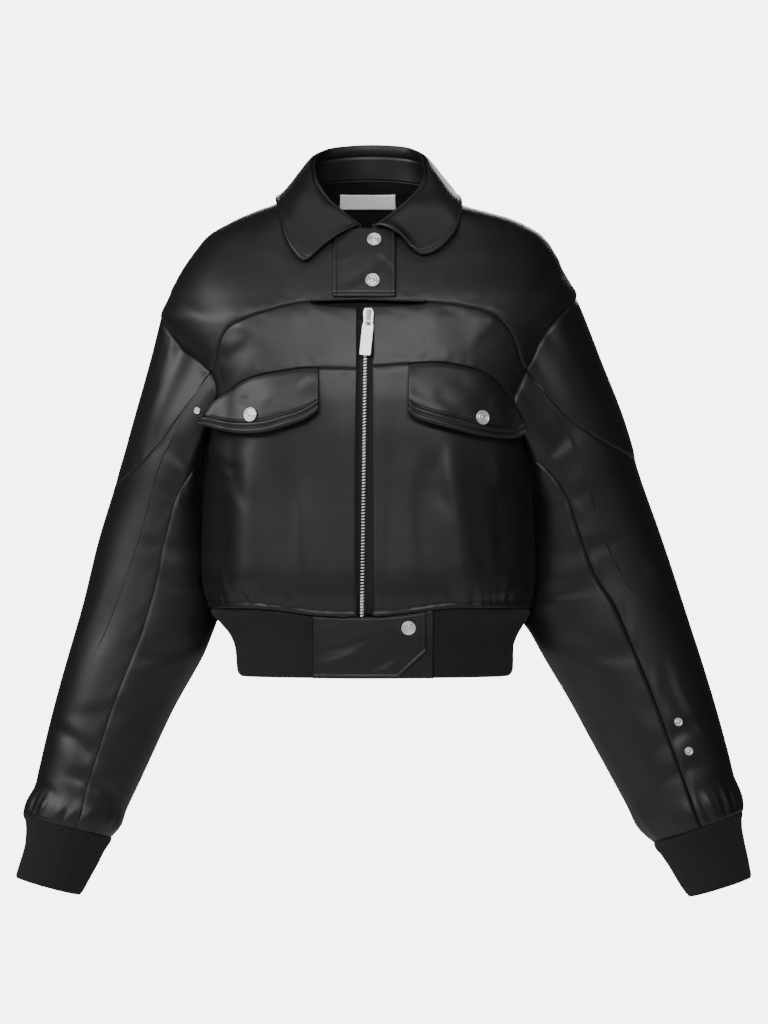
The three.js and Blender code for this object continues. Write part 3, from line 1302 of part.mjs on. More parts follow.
// How far down its flap a pocket's snap sits
function snapDown(side, curves) {
  let best = { gap: Infinity };
  for (let i = 0; i < curves.high.length - 1; i += 0.1) {
    const k = Math.floor(i);
    const between = (run, key) => mix(run[k][key], run[k + 1][key], i - k);
    const top = between(curves.high, 'z');
    const down = (top - side.snap.z) / (top - between(curves.low, 'z'));
    const x = mix(between(curves.high, 'out'), between(curves.low, 'out'), down);
    const gap = Math.abs(x - side.snap.out);
    if (gap < best.gap) best = { gap, down };
  }
  return best.down;
}

function caps() {
  capOn('snap_neck_upper', BODY, bodyPoint, SNAPS.neckUpper, NECK_TAB.lift);
  capOn('snap_neck_lower', BODY, bodyPoint, SNAPS.neckLower, NECK_TAB.lift);
  capOn('snap_hem', BAND, bandPoint, SNAPS.hem, FOLDED_CLOTH);
  for (const [name, side] of Object.entries(SIDES)) {
    const down = snapDown(side, flapCurves(side));
    const base = flapBase(side.sign * side.snap.out, side.snap.z);
    const out = lookup(FLAP_PROFILE, 'down', 'lift', down) + lookup(FLAP_PROFILE, 'down', 'thick', down);
    const normal = base.normal.clone().add(new THREE.Vector3(0, 0, CAP.flapLean)).normalize();
    const seat = base.point.addScaledVector(base.normal, out + CAP.flapSeat);
    cap(`snap_pocket_${name}`, seat, normal, CAP.radius, CAP.height);
  }
}

// Place on a sleeve, by angle and run, that is seen at a given x and height from the front
function sleevePlaceAt(side, x, z) {
  let best = { gap: Infinity };
  for (let t = 0.02; t < 0.99; t += 0.004) {
    for (let degrees = 10; degrees < 175; degrees += 1) {
      const around = degrees * DEGREE;
      const point = sleevePoint(side, around, t);
      const gap = Math.hypot(point.x - x, point.z - z);
      if (gap < best.gap) best = { gap, t, around };
    }
  }
  return best;
}

// Small studs: two on the viewer's-right sleeve, one beside the left flap
function studs() {
  for (const stud of STUDS) {
    const side = SIDES[stud.side];
    const { t, around } = sleevePlaceAt(side, stud.x, stud.z);
    const normal = sleeveNormal(side, around, t);
    const seat = sleevePoint(side, around, t).addScaledVector(normal, 0.1);
    cap(stud.name, seat, normal, stud.radius, STUD_HEIGHT);
  }
}

for (const [name, side] of Object.entries(SIDES)) {
  frontPanels(name, side);
  sleevePanels(name, side);
  cuff(name, side);
  pocketFlap(name, side);
}
backPanel();
hemRibs();
collar();
neckTab();
slitUnderlay();
slitPiping();
label();
hemTab();
zip();
slider();
caps();
studs();

export default group;
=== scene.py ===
"""A cropped black satin bomber jacket, filled out as it is when it is worn, seen from the front.

Lengths in the tables are millimetres, in the frame of the solids: the front faces -Y, +X is the right of
someone who faces it, +Z is up, and the origin is the middle of the neck.
"""

import math

import bmesh
import bpy
import numpy as np
from bpy.props import FloatProperty, FloatVectorProperty, IntProperty, PointerProperty
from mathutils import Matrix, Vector


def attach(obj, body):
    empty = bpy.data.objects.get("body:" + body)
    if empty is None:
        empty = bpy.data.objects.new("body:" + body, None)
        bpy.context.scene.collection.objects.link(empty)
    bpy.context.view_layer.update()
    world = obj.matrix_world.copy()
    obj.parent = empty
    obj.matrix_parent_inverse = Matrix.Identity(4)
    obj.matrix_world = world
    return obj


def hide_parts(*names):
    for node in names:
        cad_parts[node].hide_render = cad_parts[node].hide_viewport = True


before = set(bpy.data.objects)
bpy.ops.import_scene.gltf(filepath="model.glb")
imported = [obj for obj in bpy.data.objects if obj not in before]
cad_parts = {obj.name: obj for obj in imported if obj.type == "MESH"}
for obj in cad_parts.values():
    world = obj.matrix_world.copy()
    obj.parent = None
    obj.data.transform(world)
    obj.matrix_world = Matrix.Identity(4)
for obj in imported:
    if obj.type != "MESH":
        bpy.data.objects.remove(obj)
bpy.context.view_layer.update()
GARMENT = "garment"
PULL = "pull_tab"
MM = 0.001

bl_info = {
    "name": "Satin bomber jacket",
    "version": (1, 0, 0),
    "blender": (4, 5, 0),
    "location": "View3D > Sidebar > Jacket",
    "description": "Builds a cropped satin bomber jacket piece by piece",
    "category": "Object",
}


# Tables of the garment's form


class Rows:
    """A short table, read between its rows on a curve that never overshoots."""

    def __init__(self, columns, rows):
        self.columns = columns.split()
        data = np.array(rows, float)
        self.data = data[np.argsort(data[:, 0])]

    def at(self, column, where):
        key = self.data[:, 0]
        value = self.data[:, self.columns.index(column)]
        where = np.clip(np.asarray(where, float), key[0], key[-1])
        secant = np.diff(value) / np.diff(key)
        before, after = secant[:-1], secant[1:]
        same = before * after > 0
        total = np.where(same, before + after, 1)
        inner = np.where(same, 2 * before * after / total, 0)
        slope = np.concatenate([secant[:1], inner, secant[-1:]])
        row = np.clip(np.searchsorted(key, where, side="right") - 1, 0, len(key) - 2)
        span = key[row + 1] - key[row]
        s = (where - key[row]) / span
        keep = (1 + 2 * s) * (1 - s) ** 2
        lean = span * s * (1 - s) * ((1 - s) * slope[row] - s * slope[row + 1])
        return keep * value[row] + (1 - keep) * value[row + 1] + lean


BODY = Rows("z left right front back square", [
    (-445, 158, 163, 110, 95, 2.6),
    (-427, 167, 170.5, 116, 101, 2.6),
    (-410, 173.5, 175.5, 121, 106, 2.6),
    (-385, 176, 177.5, 122.5, 108, 2.6),
    (-355, 175.5, 175.5, 122, 109, 2.6),
    (-300, 174.5, 173, 121, 110, 2.6),
    (-250, 174, 173, 121, 111, 2.6),
    (-215, 177.5, 176, 119.5, 111.5, 2.6),
    (-190, 183.5, 181.5, 116.5, 111, 2.55),
    (-165, 195, 190, 112, 110, 2.5),
    (-140, 211.5, 202, 106, 108, 2.45),
    (-124, 217.5, 213, 102, 106, 2.4),
    (-102, 209.5, 219, 94, 103, 2.38),
    (-78, 198, 207, 84, 98, 2.35),
    (-54, 181.7, 195, 73, 92, 2.3),
    (-37, 167, 182, 64, 86, 2.25),
    (-28, 152, 168, 59, 83, 2.2),
    (-20, 137, 149, 55, 79, 2.15),
    (-12, 118, 122, 51, 75, 2.1),
    (-5, 99, 98, 47, 71, 2.05),
    (6, 77, 77, 41, 65, 2),
    (11, 75.5, 75.5, 38, 62, 2),
    (23, 68, 68, 33, 57, 2),
    (40, 52, 52, 24, 44, 2),
])

BAND = Rows("z left right front back square", [
    (-500, 136.5, 150.5, 103, 92, 2.5),
    (-490, 137.8, 152, 104, 92.5, 2.5),
    (-470, 139.5, 152.8, 105, 93, 2.5),
    (-457, 144, 157, 106.5, 94, 2.5),
    (-445, 153.5, 163.5, 109, 96, 2.55),
    (-435, 161.5, 168, 112, 98, 2.6),
    (-427, 166, 169.5, 115, 100, 2.6),
])
BAND_END_Z = -499.5
RIB_HEIGHT = 0.7

# Large folds that the solids have too: face is 1 on the front and -1 on the back
BODY_FOLDS = [
    {"face": 1, "top": (-127, -262), "low": (-129, -418), "width": 17, "height": 5},
    {"face": 1, "top": (82, -255), "low": (101, -415), "width": 17, "height": 5},
    {"face": -1, "top": (-92, -215), "low": (-104, -415), "width": 20, "height": 5},
    {"face": -1, "top": (78, -240), "low": (96, -415), "width": 20, "height": 4},
]

# Creases of the body: from (x, z) to (x, z), width, height (a trough is negative) and bow to one side
FRONT_CREASES = [
    ((-196, -74), (-150, -122), 13, -1.6, 10),
    ((-160, -170), (-118, -150), 9, -1.3, 4),
    ((-150, -128), (-98, -160), 12, 1.2, -8),
    ((-172, -262), (-146, -300), 8, -2.2, 5),
    ((-166, -252), (-128, -276), 9, 1.5, 6),
    ((-160, -300), (-157, -395), 12, -2.4, -6),
    ((-140, -250), (-118, -330), 10, -1.6, 8),
    ((-100, -262), (-92, -404), 14, -1.7, -10),
    ((-66, -300), (-60, -418), 10, 1.4, 5),
    ((-34, -228), (-30, -410), 7, -1.0, 3),
    ((-168, -404), (-120, -416), 6, -2.0, 3),
    ((-152, -384), (-140, -424), 5, 1.6, 2),
    ((-118, -402), (-112, -426), 4, -1.5, 1),
    ((-84, -408), (-80, -430), 4, 1.2, 1),
    ((-40, -412), (-37, -434), 3.5, -1.0, 1),
    ((74, -262), (84, -330), 9, -2.0, 6),
    ((58, -270), (66, -408), 12, -1.6, 6),
    ((116, -262), (128, -350), 10, -1.8, -7),
    ((150, -268), (146, -404), 12, -2.2, 9),
    ((170, -262), (142, -312), 7, -2.0, -5),
    ((164, -410), (120, -420), 6, -1.8, -3),
    ((146, -392), (138, -424), 5, 1.6, -2),
    ((112, -404), (108, -428), 4, -1.4, 1),
    ((82, -410), (78, -432), 4, 1.3, 1),
    ((48, -414), (46, -434), 3.5, -1.1, 1),
    ((24, -236), (22, -408), 6, -0.9, -3),
    ((196, -62), (152, -116), 13, -1.6, -10),
    ((150, -130), (104, -156), 11, 1.1, 8),
    ((120, -60), (86, -96), 14, -0.9, 6),
    ((-118, -58), (-88, -98), 14, -0.9, -6),
    ((-70, -120), (-30, -170), 10, -0.8, 6),
    ((64, -122), (30, -166), 10, -0.8, -6),
]
BACK_CREASES = [
    ((-150, -120), (-70, -150), 14, -2.0, 10),
    ((146, -116), (74, -160), 13, -1.9, -9),
    ((-158, -190), (-60, -214), 12, -2.3, 14),
    ((156, -206), (52, -228), 13, -2.1, -12),
    ((-166, -268), (-120, -310), 9, -2.2, 6),
    ((166, -262), (112, -318), 10, -2.4, -7),
    ((-134, -310), (-126, -404), 11, -1.9, -6),
    ((-58, -268), (-66, -410), 13, -1.6, 8),
    ((-14, -300), (-8, -414), 9, 1.4, -4),
    ((44, -286), (52, -412), 12, -1.8, 6),
    ((130, -300), (136, -408), 10, -1.7, -5),
    ((-150, -404), (-100, -414), 6, -1.8, 2),
    ((-40, -408), (-36, -426), 5, -1.4, 1),
    ((20, -404), (24, -426), 5, 1.4, 1),
    ((96, -406), (140, -414), 6, -1.7, 2),
    ((-96, -40), (-30, -62), 12, -0.9, 6),
    ((92, -38), (28, -58), 12, -0.9, -6),
]

NECK = {"half": 77, "front_z": -33, "shoulder_z": 6, "back_z": 24}
HEM = {"z": -427, "dip": 8.5, "dip_x": -15, "flat_to": 20, "ends_at": 110}

ARM_COLUMNS = "z out"
SLEEVE_COLUMNS = "t outX outZ inX inZ front back mid"
SIDES = {
    "left": {
        "sign": -1,
        "zip_x": 10.8,
        "arm": Rows(ARM_COLUMNS, [
            (-280, 174.3), (-262, 171.3), (-242, 166.5), (-220, 158.8), (-206, 156.5), (-195, 157.8),
            (-183, 163), (-176, 169), (-168, 177), (-158, 191), (-141, 204.5), (-124, 217.5),
        ]),
        "yoke_end_z": -183,
        "flap_end_z": -214,
        "slit": {"out": 59.4, "z": -110, "dip": 4.6},
        "yoke_seam": [
            (59.4, -110), (79.6, -112.6), (103.4, -118.8), (125.1, -125.9), (142.8, -135.1),
            (150.6, -145.4), (155.4, -158.8), (158.6, -173.2),
        ],
        "flap_seam": [
            (10.8, -180.2), (69, -179.8), (84.5, -182.2), (104.2, -185.2), (120.8, -189.2),
            (135.5, -196.3), (147, -204.4),
        ],
        "flap_top": [
            (50, -180.2), (69, -180), (84.5, -182.2), (104.2, -185.2), (120.8, -189.2),
            (135.5, -196.3), (147, -204.4), (159.8, -213.4), (168, -221.5), (176.5, -231.5),
        ],
        "flap_low": [
            (50, -223), (64.1, -232.4), (87.6, -240.5), (105.4, -245.2), (123.2, -246.8),
            (141.2, -245.5), (159.4, -241.1), (177, -236.5),
        ],
        "snap": (121.5, -227.3),
        "sleeve": Rows(SLEEVE_COLUMNS, [
            (0, 217.5, -124, 174, -280, 62, 68, 0),
            (0.11, 231, -180, 172, -316, 62, 68, 3),
            (0.23, 249.5, -243, 167, -352, 61, 67, 6),
            (0.34, 266, -300, 161, -386, 60, 65, 8),
            (0.46, 284, -360, 155, -424, 58, 62, 8),
            (0.59, 301.5, -430, 167.5, -467, 55, 59, 5),
            (0.74, 323.5, -508, 206, -539, 50, 53, -1),
            (0.9, 344, -591, 243, -618, 44, 45, -9),
            (0.97, 353.5, -627, 259, -651, 42, 43, -13),
            (1, 361, -643, 268, -667, 41, 41, -15),
        ]),
        "cap_seam": [
            (76, 0), (74, 0.08), (70, 0.15), (61, 0.218), (45, 0.278), (22, 0.325), (0, 0.34),
        ],
        "long_seam": Rows("t around", [
            (0, 157), (0.1, 122), (0.2, 106), (0.34, 95), (0.46, 90), (0.6, 90), (0.9, 94), (1, 102),
        ]),
        "cuff": [
            (356.5, -651, 271.5, -674, 37, 37, -16),
            (359.5, -676, 281, -695, 34, 34, -18),
            (366.5, -701, 293, -715, 32, 32, -20),
            (369, -709, 300, -728, 31, 31, -21),
        ],
    },
    "right": {
        "sign": 1,
        "zip_x": 5.2,
        "arm": Rows(ARM_COLUMNS, [
            (-280, 173.2), (-262, 166.5), (-242, 157.8), (-228, 153), (-213, 151.5), (-196, 157.5),
            (-181, 164.2), (-168, 171.3), (-152, 177.5), (-134, 189.5), (-121, 202), (-104, 219),
        ]),
        "yoke_end_z": -181,
        "flap_end_z": -213.6,
        "slit": {"out": 61, "z": -110.6, "dip": 2.2},
        "yoke_seam": [
            (61, -110.6), (87.4, -112.6), (109.2, -116.6), (127.3, -121.7), (138.5, -129.5),
            (149.1, -142.2), (155, -156.6), (159.5, -171),
        ],
        "flap_seam": [
            (5.2, -177.4), (42.2, -175.1), (73.2, -174), (103.2, -178.5), (120.9, -184),
            (133.4, -192.2), (142, -201),
        ],
        "flap_top": [
            (42.1, -175.4), (73.2, -174.2), (103.2, -178.5), (120.9, -184), (133.4, -192.2),
            (142, -201), (151.3, -213.6), (158, -224), (163, -235),
        ],
        "flap_low": [
            (42.2, -224.8), (49.1, -230.7), (65.6, -236.6), (89.3, -242.5), (113.2, -248.2),
            (137.1, -251.5), (152, -251.3), (164.5, -246),
        ],
        "snap": (118.9, -230.3),
        "sleeve": Rows(SLEEVE_COLUMNS, [
            (0, 219, -104, 173, -280, 62, 68, 0),
            (0.11, 241.5, -160, 171, -316, 62, 68, 3),
            (0.23, 266, -223, 166, -354, 62, 68, 6),
            (0.34, 286, -288, 160, -392, 61, 66, 8),
            (0.46, 306, -347, 156, -428, 59, 63, 8),
            (0.6, 328.5, -414, 174, -460, 56, 60, 5),
            (0.74, 352, -489, 216.5, -534, 51, 54, -1),
            (0.9, 376, -572, 255, -606, 45, 46, -9),
            (0.97, 387.5, -620, 281, -651, 42, 43, -13),
            (1, 392.5, -640, 299, -673, 41, 41, -15),
        ]),
        "cap_seam": [
            (82.8, 0), (80.5, 0.075), (75, 0.14), (65, 0.195), (51, 0.247), (26, 0.295), (0, 0.31),
        ],
        "long_seam": Rows("t around", [
            (0, 157), (0.1, 122), (0.2, 106), (0.34, 94), (0.5, 86), (0.6, 82), (0.95, 84), (1, 88),
        ]),
        "cuff": [
            (390.5, -649, 303, -680, 37, 37, -16),
            (394, -676, 315.5, -698, 34, 34, -18),
            (400, -701, 327, -718, 32, 32, -20),
            (402, -709, 335, -730, 31, 31, -21),
        ],
    },
}
CUFF_KEYS = ("outX", "outZ", "inX", "inZ", "front", "back", "mid")
ARM_BLEND_END = 0.3
BACK_ARM_EASE = 0.35
TORSO_CLEARANCE = 0.3
CAP_NARROWING = 0.62

# Creases of a sleeve: from (angle, run) to (angle, run), width in mm, height, bow in degrees. Angle 90 is
# the front, 0 the outer side, 180 the inner side; run is 0 at the armhole and 1 at the cuff.
SLEEVE_CREASES = {
    "left": [
        ((150, 0.02), (60, 0.20), 12, -3.0, 12),
        ((165, 0.08), (80, 0.27), 11, -2.6, 10),
        ((40, 0.03), (25, 0.16), 13, -1.5, 6),
        ((130, 0.30), (70, 0.42), 13, -2.0, 8),
        ((170, 0.34), (96, 0.48), 12, -2.6, 9),
        ((60, 0.52), (30, 0.68), 15, -1.6, 8),
        ((150, 0.58), (84, 0.66), 11, -2.2, 6),
        ((120, 0.72), (50, 0.79), 12, -1.5, 7),
        ((20, 0.82), (110, 0.865), 9, -2.0, 6),
        ((60, 0.905), (140, 0.93), 7, -2.2, 5),
        ((0, 0.935), (70, 0.955), 6, -1.8, 4),
        ((-150, 0.05), (-60, 0.22), 13, -2.8, 10),
        ((-170, 0.26), (-90, 0.40), 12, -2.6, 9),
        ((-40, 0.34), (-100, 0.46), 14, -2.1, 8),
        ((-160, 0.52), (-70, 0.62), 13, -2.6, 8),
        ((-30, 0.66), (-120, 0.74), 12, -1.9, 7),
        ((-150, 0.82), (-60, 0.87), 9, -2.2, 6),
        ((-40, 0.92), (-120, 0.95), 7, -1.8, 4),
    ],
    "right": [
        ((152, 0.02), (66, 0.18), 12, -2.8, 12),
        ((166, 0.10), (76, 0.30), 11, -2.9, 10),
        ((38, 0.03), (28, 0.15), 13, -1.4, 6),
        ((126, 0.32), (62, 0.44), 13, -1.9, 8),
        ((168, 0.36), (92, 0.52), 12, -2.6, 9),
        ((54, 0.50), (28, 0.64), 15, -1.7, 8),
        ((146, 0.60), (80, 0.69), 11, -2.3, 6),
        ((64, 0.70), (58, 0.86), 8, -1.9, 4),
        ((96, 0.74), (72, 0.88), 7, -1.7, 5),
        ((18, 0.84), (104, 0.875), 9, -2.2, 6),
        ((44, 0.915), (140, 0.935), 7, -2.4, 5),
        ((0, 0.945), (80, 0.96), 6, -2.0, 4),
        ((-148, 0.06), (-58, 0.24), 13, -2.9, 10),
        ((-168, 0.28), (-84, 0.41), 12, -2.5, 9),
        ((-36, 0.36), (-96, 0.48), 14, -2.0, 8),
        ((-158, 0.54), (-66, 0.65), 13, -2.7, 8),
        ((-34, 0.68), (-118, 0.77), 12, -2.0, 7),
        ((-152, 0.84), (-62, 0.885), 9, -2.3, 6),
    ],
}

COLLAR = np.array([
    # rollX rollY rollZ edgeX edgeY edgeZ neck bow
    (-7.3, -63, -29, -57.5, -83, -62.5, 5, 4),
    (-14, -60, -24.5, -63.7, -84, -67.3, 12, 2),
    (-23, -55, -17.5, -70, -83, -65.5, 20, 0),
    (-33, -48, -9, -77, -78, -57.5, 29, 0),
    (-42, -40, -1, -84, -71, -46, 38, 0),
    (-54.4, -24, 17, -90.5, -57, -28, 55, 0),
    (-59, -8, 32, -95.7, -30, -7, 73, -4),
    (-60, 9, 41, -97.5, 4, 3, 92, -7),
    (-56, 26, 50, -92, 38, 3, 115, -4),
    (-39, 45, 57.5, -62, 72, 4, 146, 0),
    (0, 55, 61, 0, 88, 5, 180, 0),
    (40, 45, 58.5, 62, 72, 4, 214, 0),
    (57, 26, 51, 92, 38, 4, 245, -3),
    (61.5, 8, 40, 98, 4, 3, 268, -5),
    (62, -7, 27, 99, -33, -6, 287, -3),
    (56, -23, 13, 95.5, -60, -27, 305, 0),
    (43.8, -40, -1, 86.5, -70, -42.5, 322, 0),
    (34, -48, -9.5, 73.5, -77, -55, 331, 0),
    (24, -55, -17.5, 59, -81, -60.5, 340, 0),
    (14, -60, -24.5, 49, -81, -57, 348, 4),
    (5.2, -63, -29, 43, -79, -52, 355, 6),
], float)
FALL = {"bulge": 4, "bulge_shape": 0.75, "lean": 55, "left_tip": (1.8, 0.2), "right_tip": (1.3, 0.16)}
STAND = {"lift": 0.3, "top_inset": 3.2}

NECK_TAB = {"left": -36.2, "right": 29.4, "low": -106.2, "high": -34, "lift": 0.5}
UNDERLAY = {"left": -62, "right": 64, "low": -126.6, "high": -102, "depth": 3.6}
LABEL = {"left": -31, "right": 30, "low": -4.6, "high": 10.4, "thick": 0.6, "depth": 2.9}
HEM_TAB = {
    "left": -56.6, "right": 59.8, "corner_x": 30, "low": -499.3, "corner_z": -472,
    "overlap_from": -44, "overlap_to": -22,
}
UNDERLAP = {"left": -20, "right": 68, "lift": -0.4}
FLAP_LIFT = Rows("down lift", [(0, 0.4), (0.3, 3.3), (0.58, 5.9), (0.8, 7.6), (1, 8)])
# Cords along a flap's lower edge: distance from the edge, half width and rise
FLAP_CORDS = [(3.2, 3.3, 2.6), (9.6, 3.0, 2.2)]
FLAP = {"reach": 25, "reach_from": 138, "reach_to": 178, "thick": 2.1, "stitch_down": 0.7}
ZIP = {
    "top_z": -127, "chain_top_z": -137.2, "top_x": -2, "low_x": -5.7, "chain_half": 1.7,
    "left_tape_x": -24, "right_tape_x": 20, "tape_depth": 1.3, "tape": 0.8,
}


# Measures and curves


def mix(a, b, share):
    return a + (b - a) * share


def smooth(start, end, at):
    s = np.clip((np.asarray(at, float) - start) / (end - start), 0, 1)
    return s * s * (3 - 2 * s)


def length(vectors):
    return np.sqrt((vectors ** 2).sum(-1))


def unit(vectors):
    return vectors / np.maximum(length(vectors), 1e-9)[..., None]


def spline(rows, count):
    """Evenly spaced points on a centripetal curve through the rows."""
    rows = np.asarray(rows, float)
    ends = [2 * rows[0] - rows[1], 2 * rows[-1] - rows[-2]]
    points = np.vstack([ends[0], rows, ends[1]])
    knots = np.concatenate([[0], np.cumsum(length(np.diff(points, axis=0)) ** 0.5)])
    fine = []
    for k in range(1, len(points) - 2):
        t0, t1, t2, t3 = knots[k - 1:k + 3]
        t = np.linspace(t1, t2, 24, endpoint=False)[:, None]
        p0, p1, p2, p3 = points[k - 1:k + 3]
        a1 = (t1 - t) / (t1 - t0) * p0 + (t - t0) / (t1 - t0) * p1
        a2 = (t2 - t) / (t2 - t1) * p1 + (t - t1) / (t2 - t1) * p2
        a3 = (t3 - t) / (t3 - t2) * p2 + (t - t2) / (t3 - t2) * p3
        b1 = (t2 - t) / (t2 - t0) * a1 + (t - t0) / (t2 - t0) * a2
        b2 = (t3 - t) / (t3 - t1) * a2 + (t - t1) / (t3 - t1) * a3
        fine.append((t2 - t) / (t2 - t1) * b1 + (t - t1) / (t2 - t1) * b2)
    fine = np.vstack(fine + [points[-2:-1]])
    run = np.concatenate([[0], np.cumsum(length(np.diff(fine, axis=0)))])
    want = np.linspace(0, run[-1], count + 1)
    return np.stack([np.interp(want, run, fine[:, c]) for c in range(fine.shape[1])], -1)


def joined(*runs):
    return np.vstack([runs[0]] + [run[1:] for run in runs[1:]])


def ring_point(table, angle, z):
    """Point of a ringed form: angle 0 is the right side, a quarter turn the middle of the front."""
    cos, sin = np.cos(angle), np.sin(angle)
    power = 2 / table.at("square", z)
    half = np.where(cos < 0, table.at("left", z), table.at("right", z))
    deep = np.where(sin < 0, table.at("back", z), table.at("front", z))
    x = half * np.sign(cos) * np.abs(cos) ** power
    y = -deep * np.sign(sin) * np.abs(sin) ** power
    return np.stack([x, y, z + 0 * x], -1)


def fold_height(point):
    x, y, z = point[..., 0], point[..., 1], point[..., 2]
    height = np.zeros_like(x)
    for fold in BODY_FOLDS:
        (top_x, top_z), (low_x, low_z) = fold["top"], fold["low"]
        along = (z - top_z) / (low_z - top_z)
        taper = smooth(-0.15, 0.3, along) * (1 - smooth(0.8, 1.05, along))
        off = (x - mix(top_x, low_x, along)) / fold["width"]
        ridge = fold["height"] * taper * np.exp(-off * off)
        height += np.where(fold["face"] * y > 0, 0, ridge)
    return height


def body_point(angle, z):
    point = ring_point(BODY, angle, z)
    outward = unit(point * np.array([1 / 3, 1, 0]))
    return point + outward * fold_height(point)[..., None]


def band_point(angle, z):
    return ring_point(BAND, angle, z)


def ring_normal(surface, angle, z):
    across = surface(angle + 0.012, z) - surface(angle - 0.012, z)
    up = surface(angle, z + 0.8) - surface(angle, z - 0.8)
    return unit(np.cross(up, across))


def body_normal(angle, z):
    return ring_normal(body_point, angle, z)


def angle_at(table, x, z, back=False):
    x = np.asarray(x, float)
    half = np.where(x < 0, table.at("left", z), table.at("right", z))
    ratio = np.minimum(np.abs(x) / half, 1)
    angle = np.arccos(np.sign(x) * ratio ** (table.at("square", z) / 2))
    return 2 * np.pi - angle if back else angle


def body_place(x, z, back=False):
    return np.stack(np.broadcast_arrays(angle_at(BODY, x, z, back), np.asarray(z, float)), -1)


def crease_height(x, z, creases, stretch=1.0):
    """Soft troughs and ridges that fade at both ends, steeper on one flank than on the other."""
    height = np.zeros_like(x)
    for k, (start, end, width, deep, bow) in enumerate(creases):
        run = np.array([(end[0] - start[0]) * stretch, end[1] - start[1]])
        span = np.hypot(*run)
        dx, dz = (x - start[0]) * stretch, z - start[1]
        along = (dx * run[0] + dz * run[1]) / span ** 2
        off = (dx * run[1] - dz * run[0]) / span - bow * 4 * along * (1 - along)
        lean = 1 + 0.35 * np.tanh(off / width) * (1 if k % 2 else -1)
        fade = smooth(-0.12, 0.32, along) * (1 - smooth(0.62, 1.12, along))
        off = off / (width * lean)
        height += deep * fade * (np.exp(-off * off) - 0.35 * np.exp(-(off * off) / 5))
    return height


def ripples(points, scale, seed):
    """Slow, uneven waves over a piece of cloth, between about -1 and 1."""
    rng = np.random.default_rng(seed)
    total = np.zeros(points.shape[:-1])
    for _ in range(7):
        direction = unit(rng.normal(size=3)) / scale * rng.uniform(0.5, 1.4)
        total += np.sin(points @ direction * 2 * np.pi + rng.uniform(0, 2 * np.pi))
    return total / 3.5


def edge_distances(points):
    """Distance along the cloth to its low, high, first and last edge."""
    def run(axis):
        steps = length(np.diff(points, axis=axis))
        shape = list(points.shape[:2])
        shape[axis] = 1
        return np.concatenate([np.zeros(shape), np.cumsum(steps, axis=axis)], axis)
    up, across = run(0), run(1)
    return {"low": up, "high": up[-1:] - up, "first": across, "last": across[:, -1:] - across}


def seam_relief(points, seams, sizes, seed):
    """Cloth rises softly away from a seam, and is a little gathered along it."""
    distances = edge_distances(points)
    relief = np.zeros(points.shape[:2])
    for name in seams:
        away = distances[name]
        relief -= sizes.seam_puff * np.exp(-(away / 2.4) ** 1.4)
        relief += 0.32 * ripples(points, 17, seed) * np.exp(-((away - 6) / 6) ** 2)
    return relief


# Meshes


def mesh_object(name, points, faces, material):
    mesh = bpy.data.meshes.new(name)
    sizes = np.array([len(face) for face in faces])
    loops = np.concatenate(faces)
    mesh.vertices.add(len(points))
    mesh.vertices.foreach_set("co", (np.asarray(points, np.float64) * MM).astype(np.float32).ravel())
    mesh.loops.add(len(loops))
    mesh.loops.foreach_set("vertex_index", loops.astype(np.int32))
    mesh.polygons.add(len(sizes))
    starts = np.concatenate([[0], np.cumsum(sizes)[:-1]])
    mesh.polygons.foreach_set("loop_start", starts.astype(np.int32))
    mesh.polygons.foreach_set("loop_total", sizes.astype(np.int32))
    mesh.polygons.foreach_set("use_smooth", np.full(len(sizes), True))
    mesh.update(calc_edges=True)
    mesh.validate()
    mesh.materials.append(material)
    obj = bpy.data.objects.new(name, mesh)
    bpy.context.scene.collection.objects.link(obj)
    return obj


def grid_faces(rows, columns, start=0, around=False):
    j, i = np.meshgrid(np.arange(rows - 1), np.arange(columns if around else columns - 1), indexing="ij")
    j, i = j.ravel(), i.ravel()
    after = (i + 1) % columns
    low, high = j * columns, (j + 1) * columns
    return start + np.stack([low + i, low + after, high + after, high + i], -1)


def shell(name, outer, inner, material, around=False):
    """Closed wall of cloth between an outer and an inner grid of points."""
    rows, columns = outer.shape[:2]
    if around:
        outer, inner = outer[:, :-1], inner[:, :-1]
        columns -= 1
    points = np.vstack([outer.reshape(-1, 3), inner.reshape(-1, 3)])
    shift = rows * columns
    front = grid_faces(rows, columns, 0, around)
    back = grid_faces(rows, columns, shift, around)[:, ::-1]
    i = np.arange(columns if around else columns - 1)
    after = (i + 1) % columns
    last = (rows - 1) * columns
    rims = [
        np.stack([i, i + shift, after + shift, after], -1),
        np.stack([last + i, last + after, last + after + shift, last + i + shift], -1),
    ]
    if not around:
        j = np.arange(rows - 1) * columns
        right = j + columns - 1
        rims.append(np.stack([j, j + columns, j + columns + shift, j + shift], -1))
        rims.append(np.stack([right, right + shift, right + columns + shift, right + columns], -1))
    faces = np.vstack([front, back] + rims)
    a, b, c, d = (points[faces[:, k]] for k in range(4))
    volume = (np.einsum("ij,ij->i", a, np.cross(b, c)) + np.einsum("ij,ij->i", a, np.cross(c, d))).sum()
    if volume < 0:
        faces = faces[:, ::-1]
    return mesh_object(name, points, faces, material)


def finish_piece(obj, body, slot, *nodes):
    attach(obj, body)
    if nodes:
        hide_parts(*nodes)


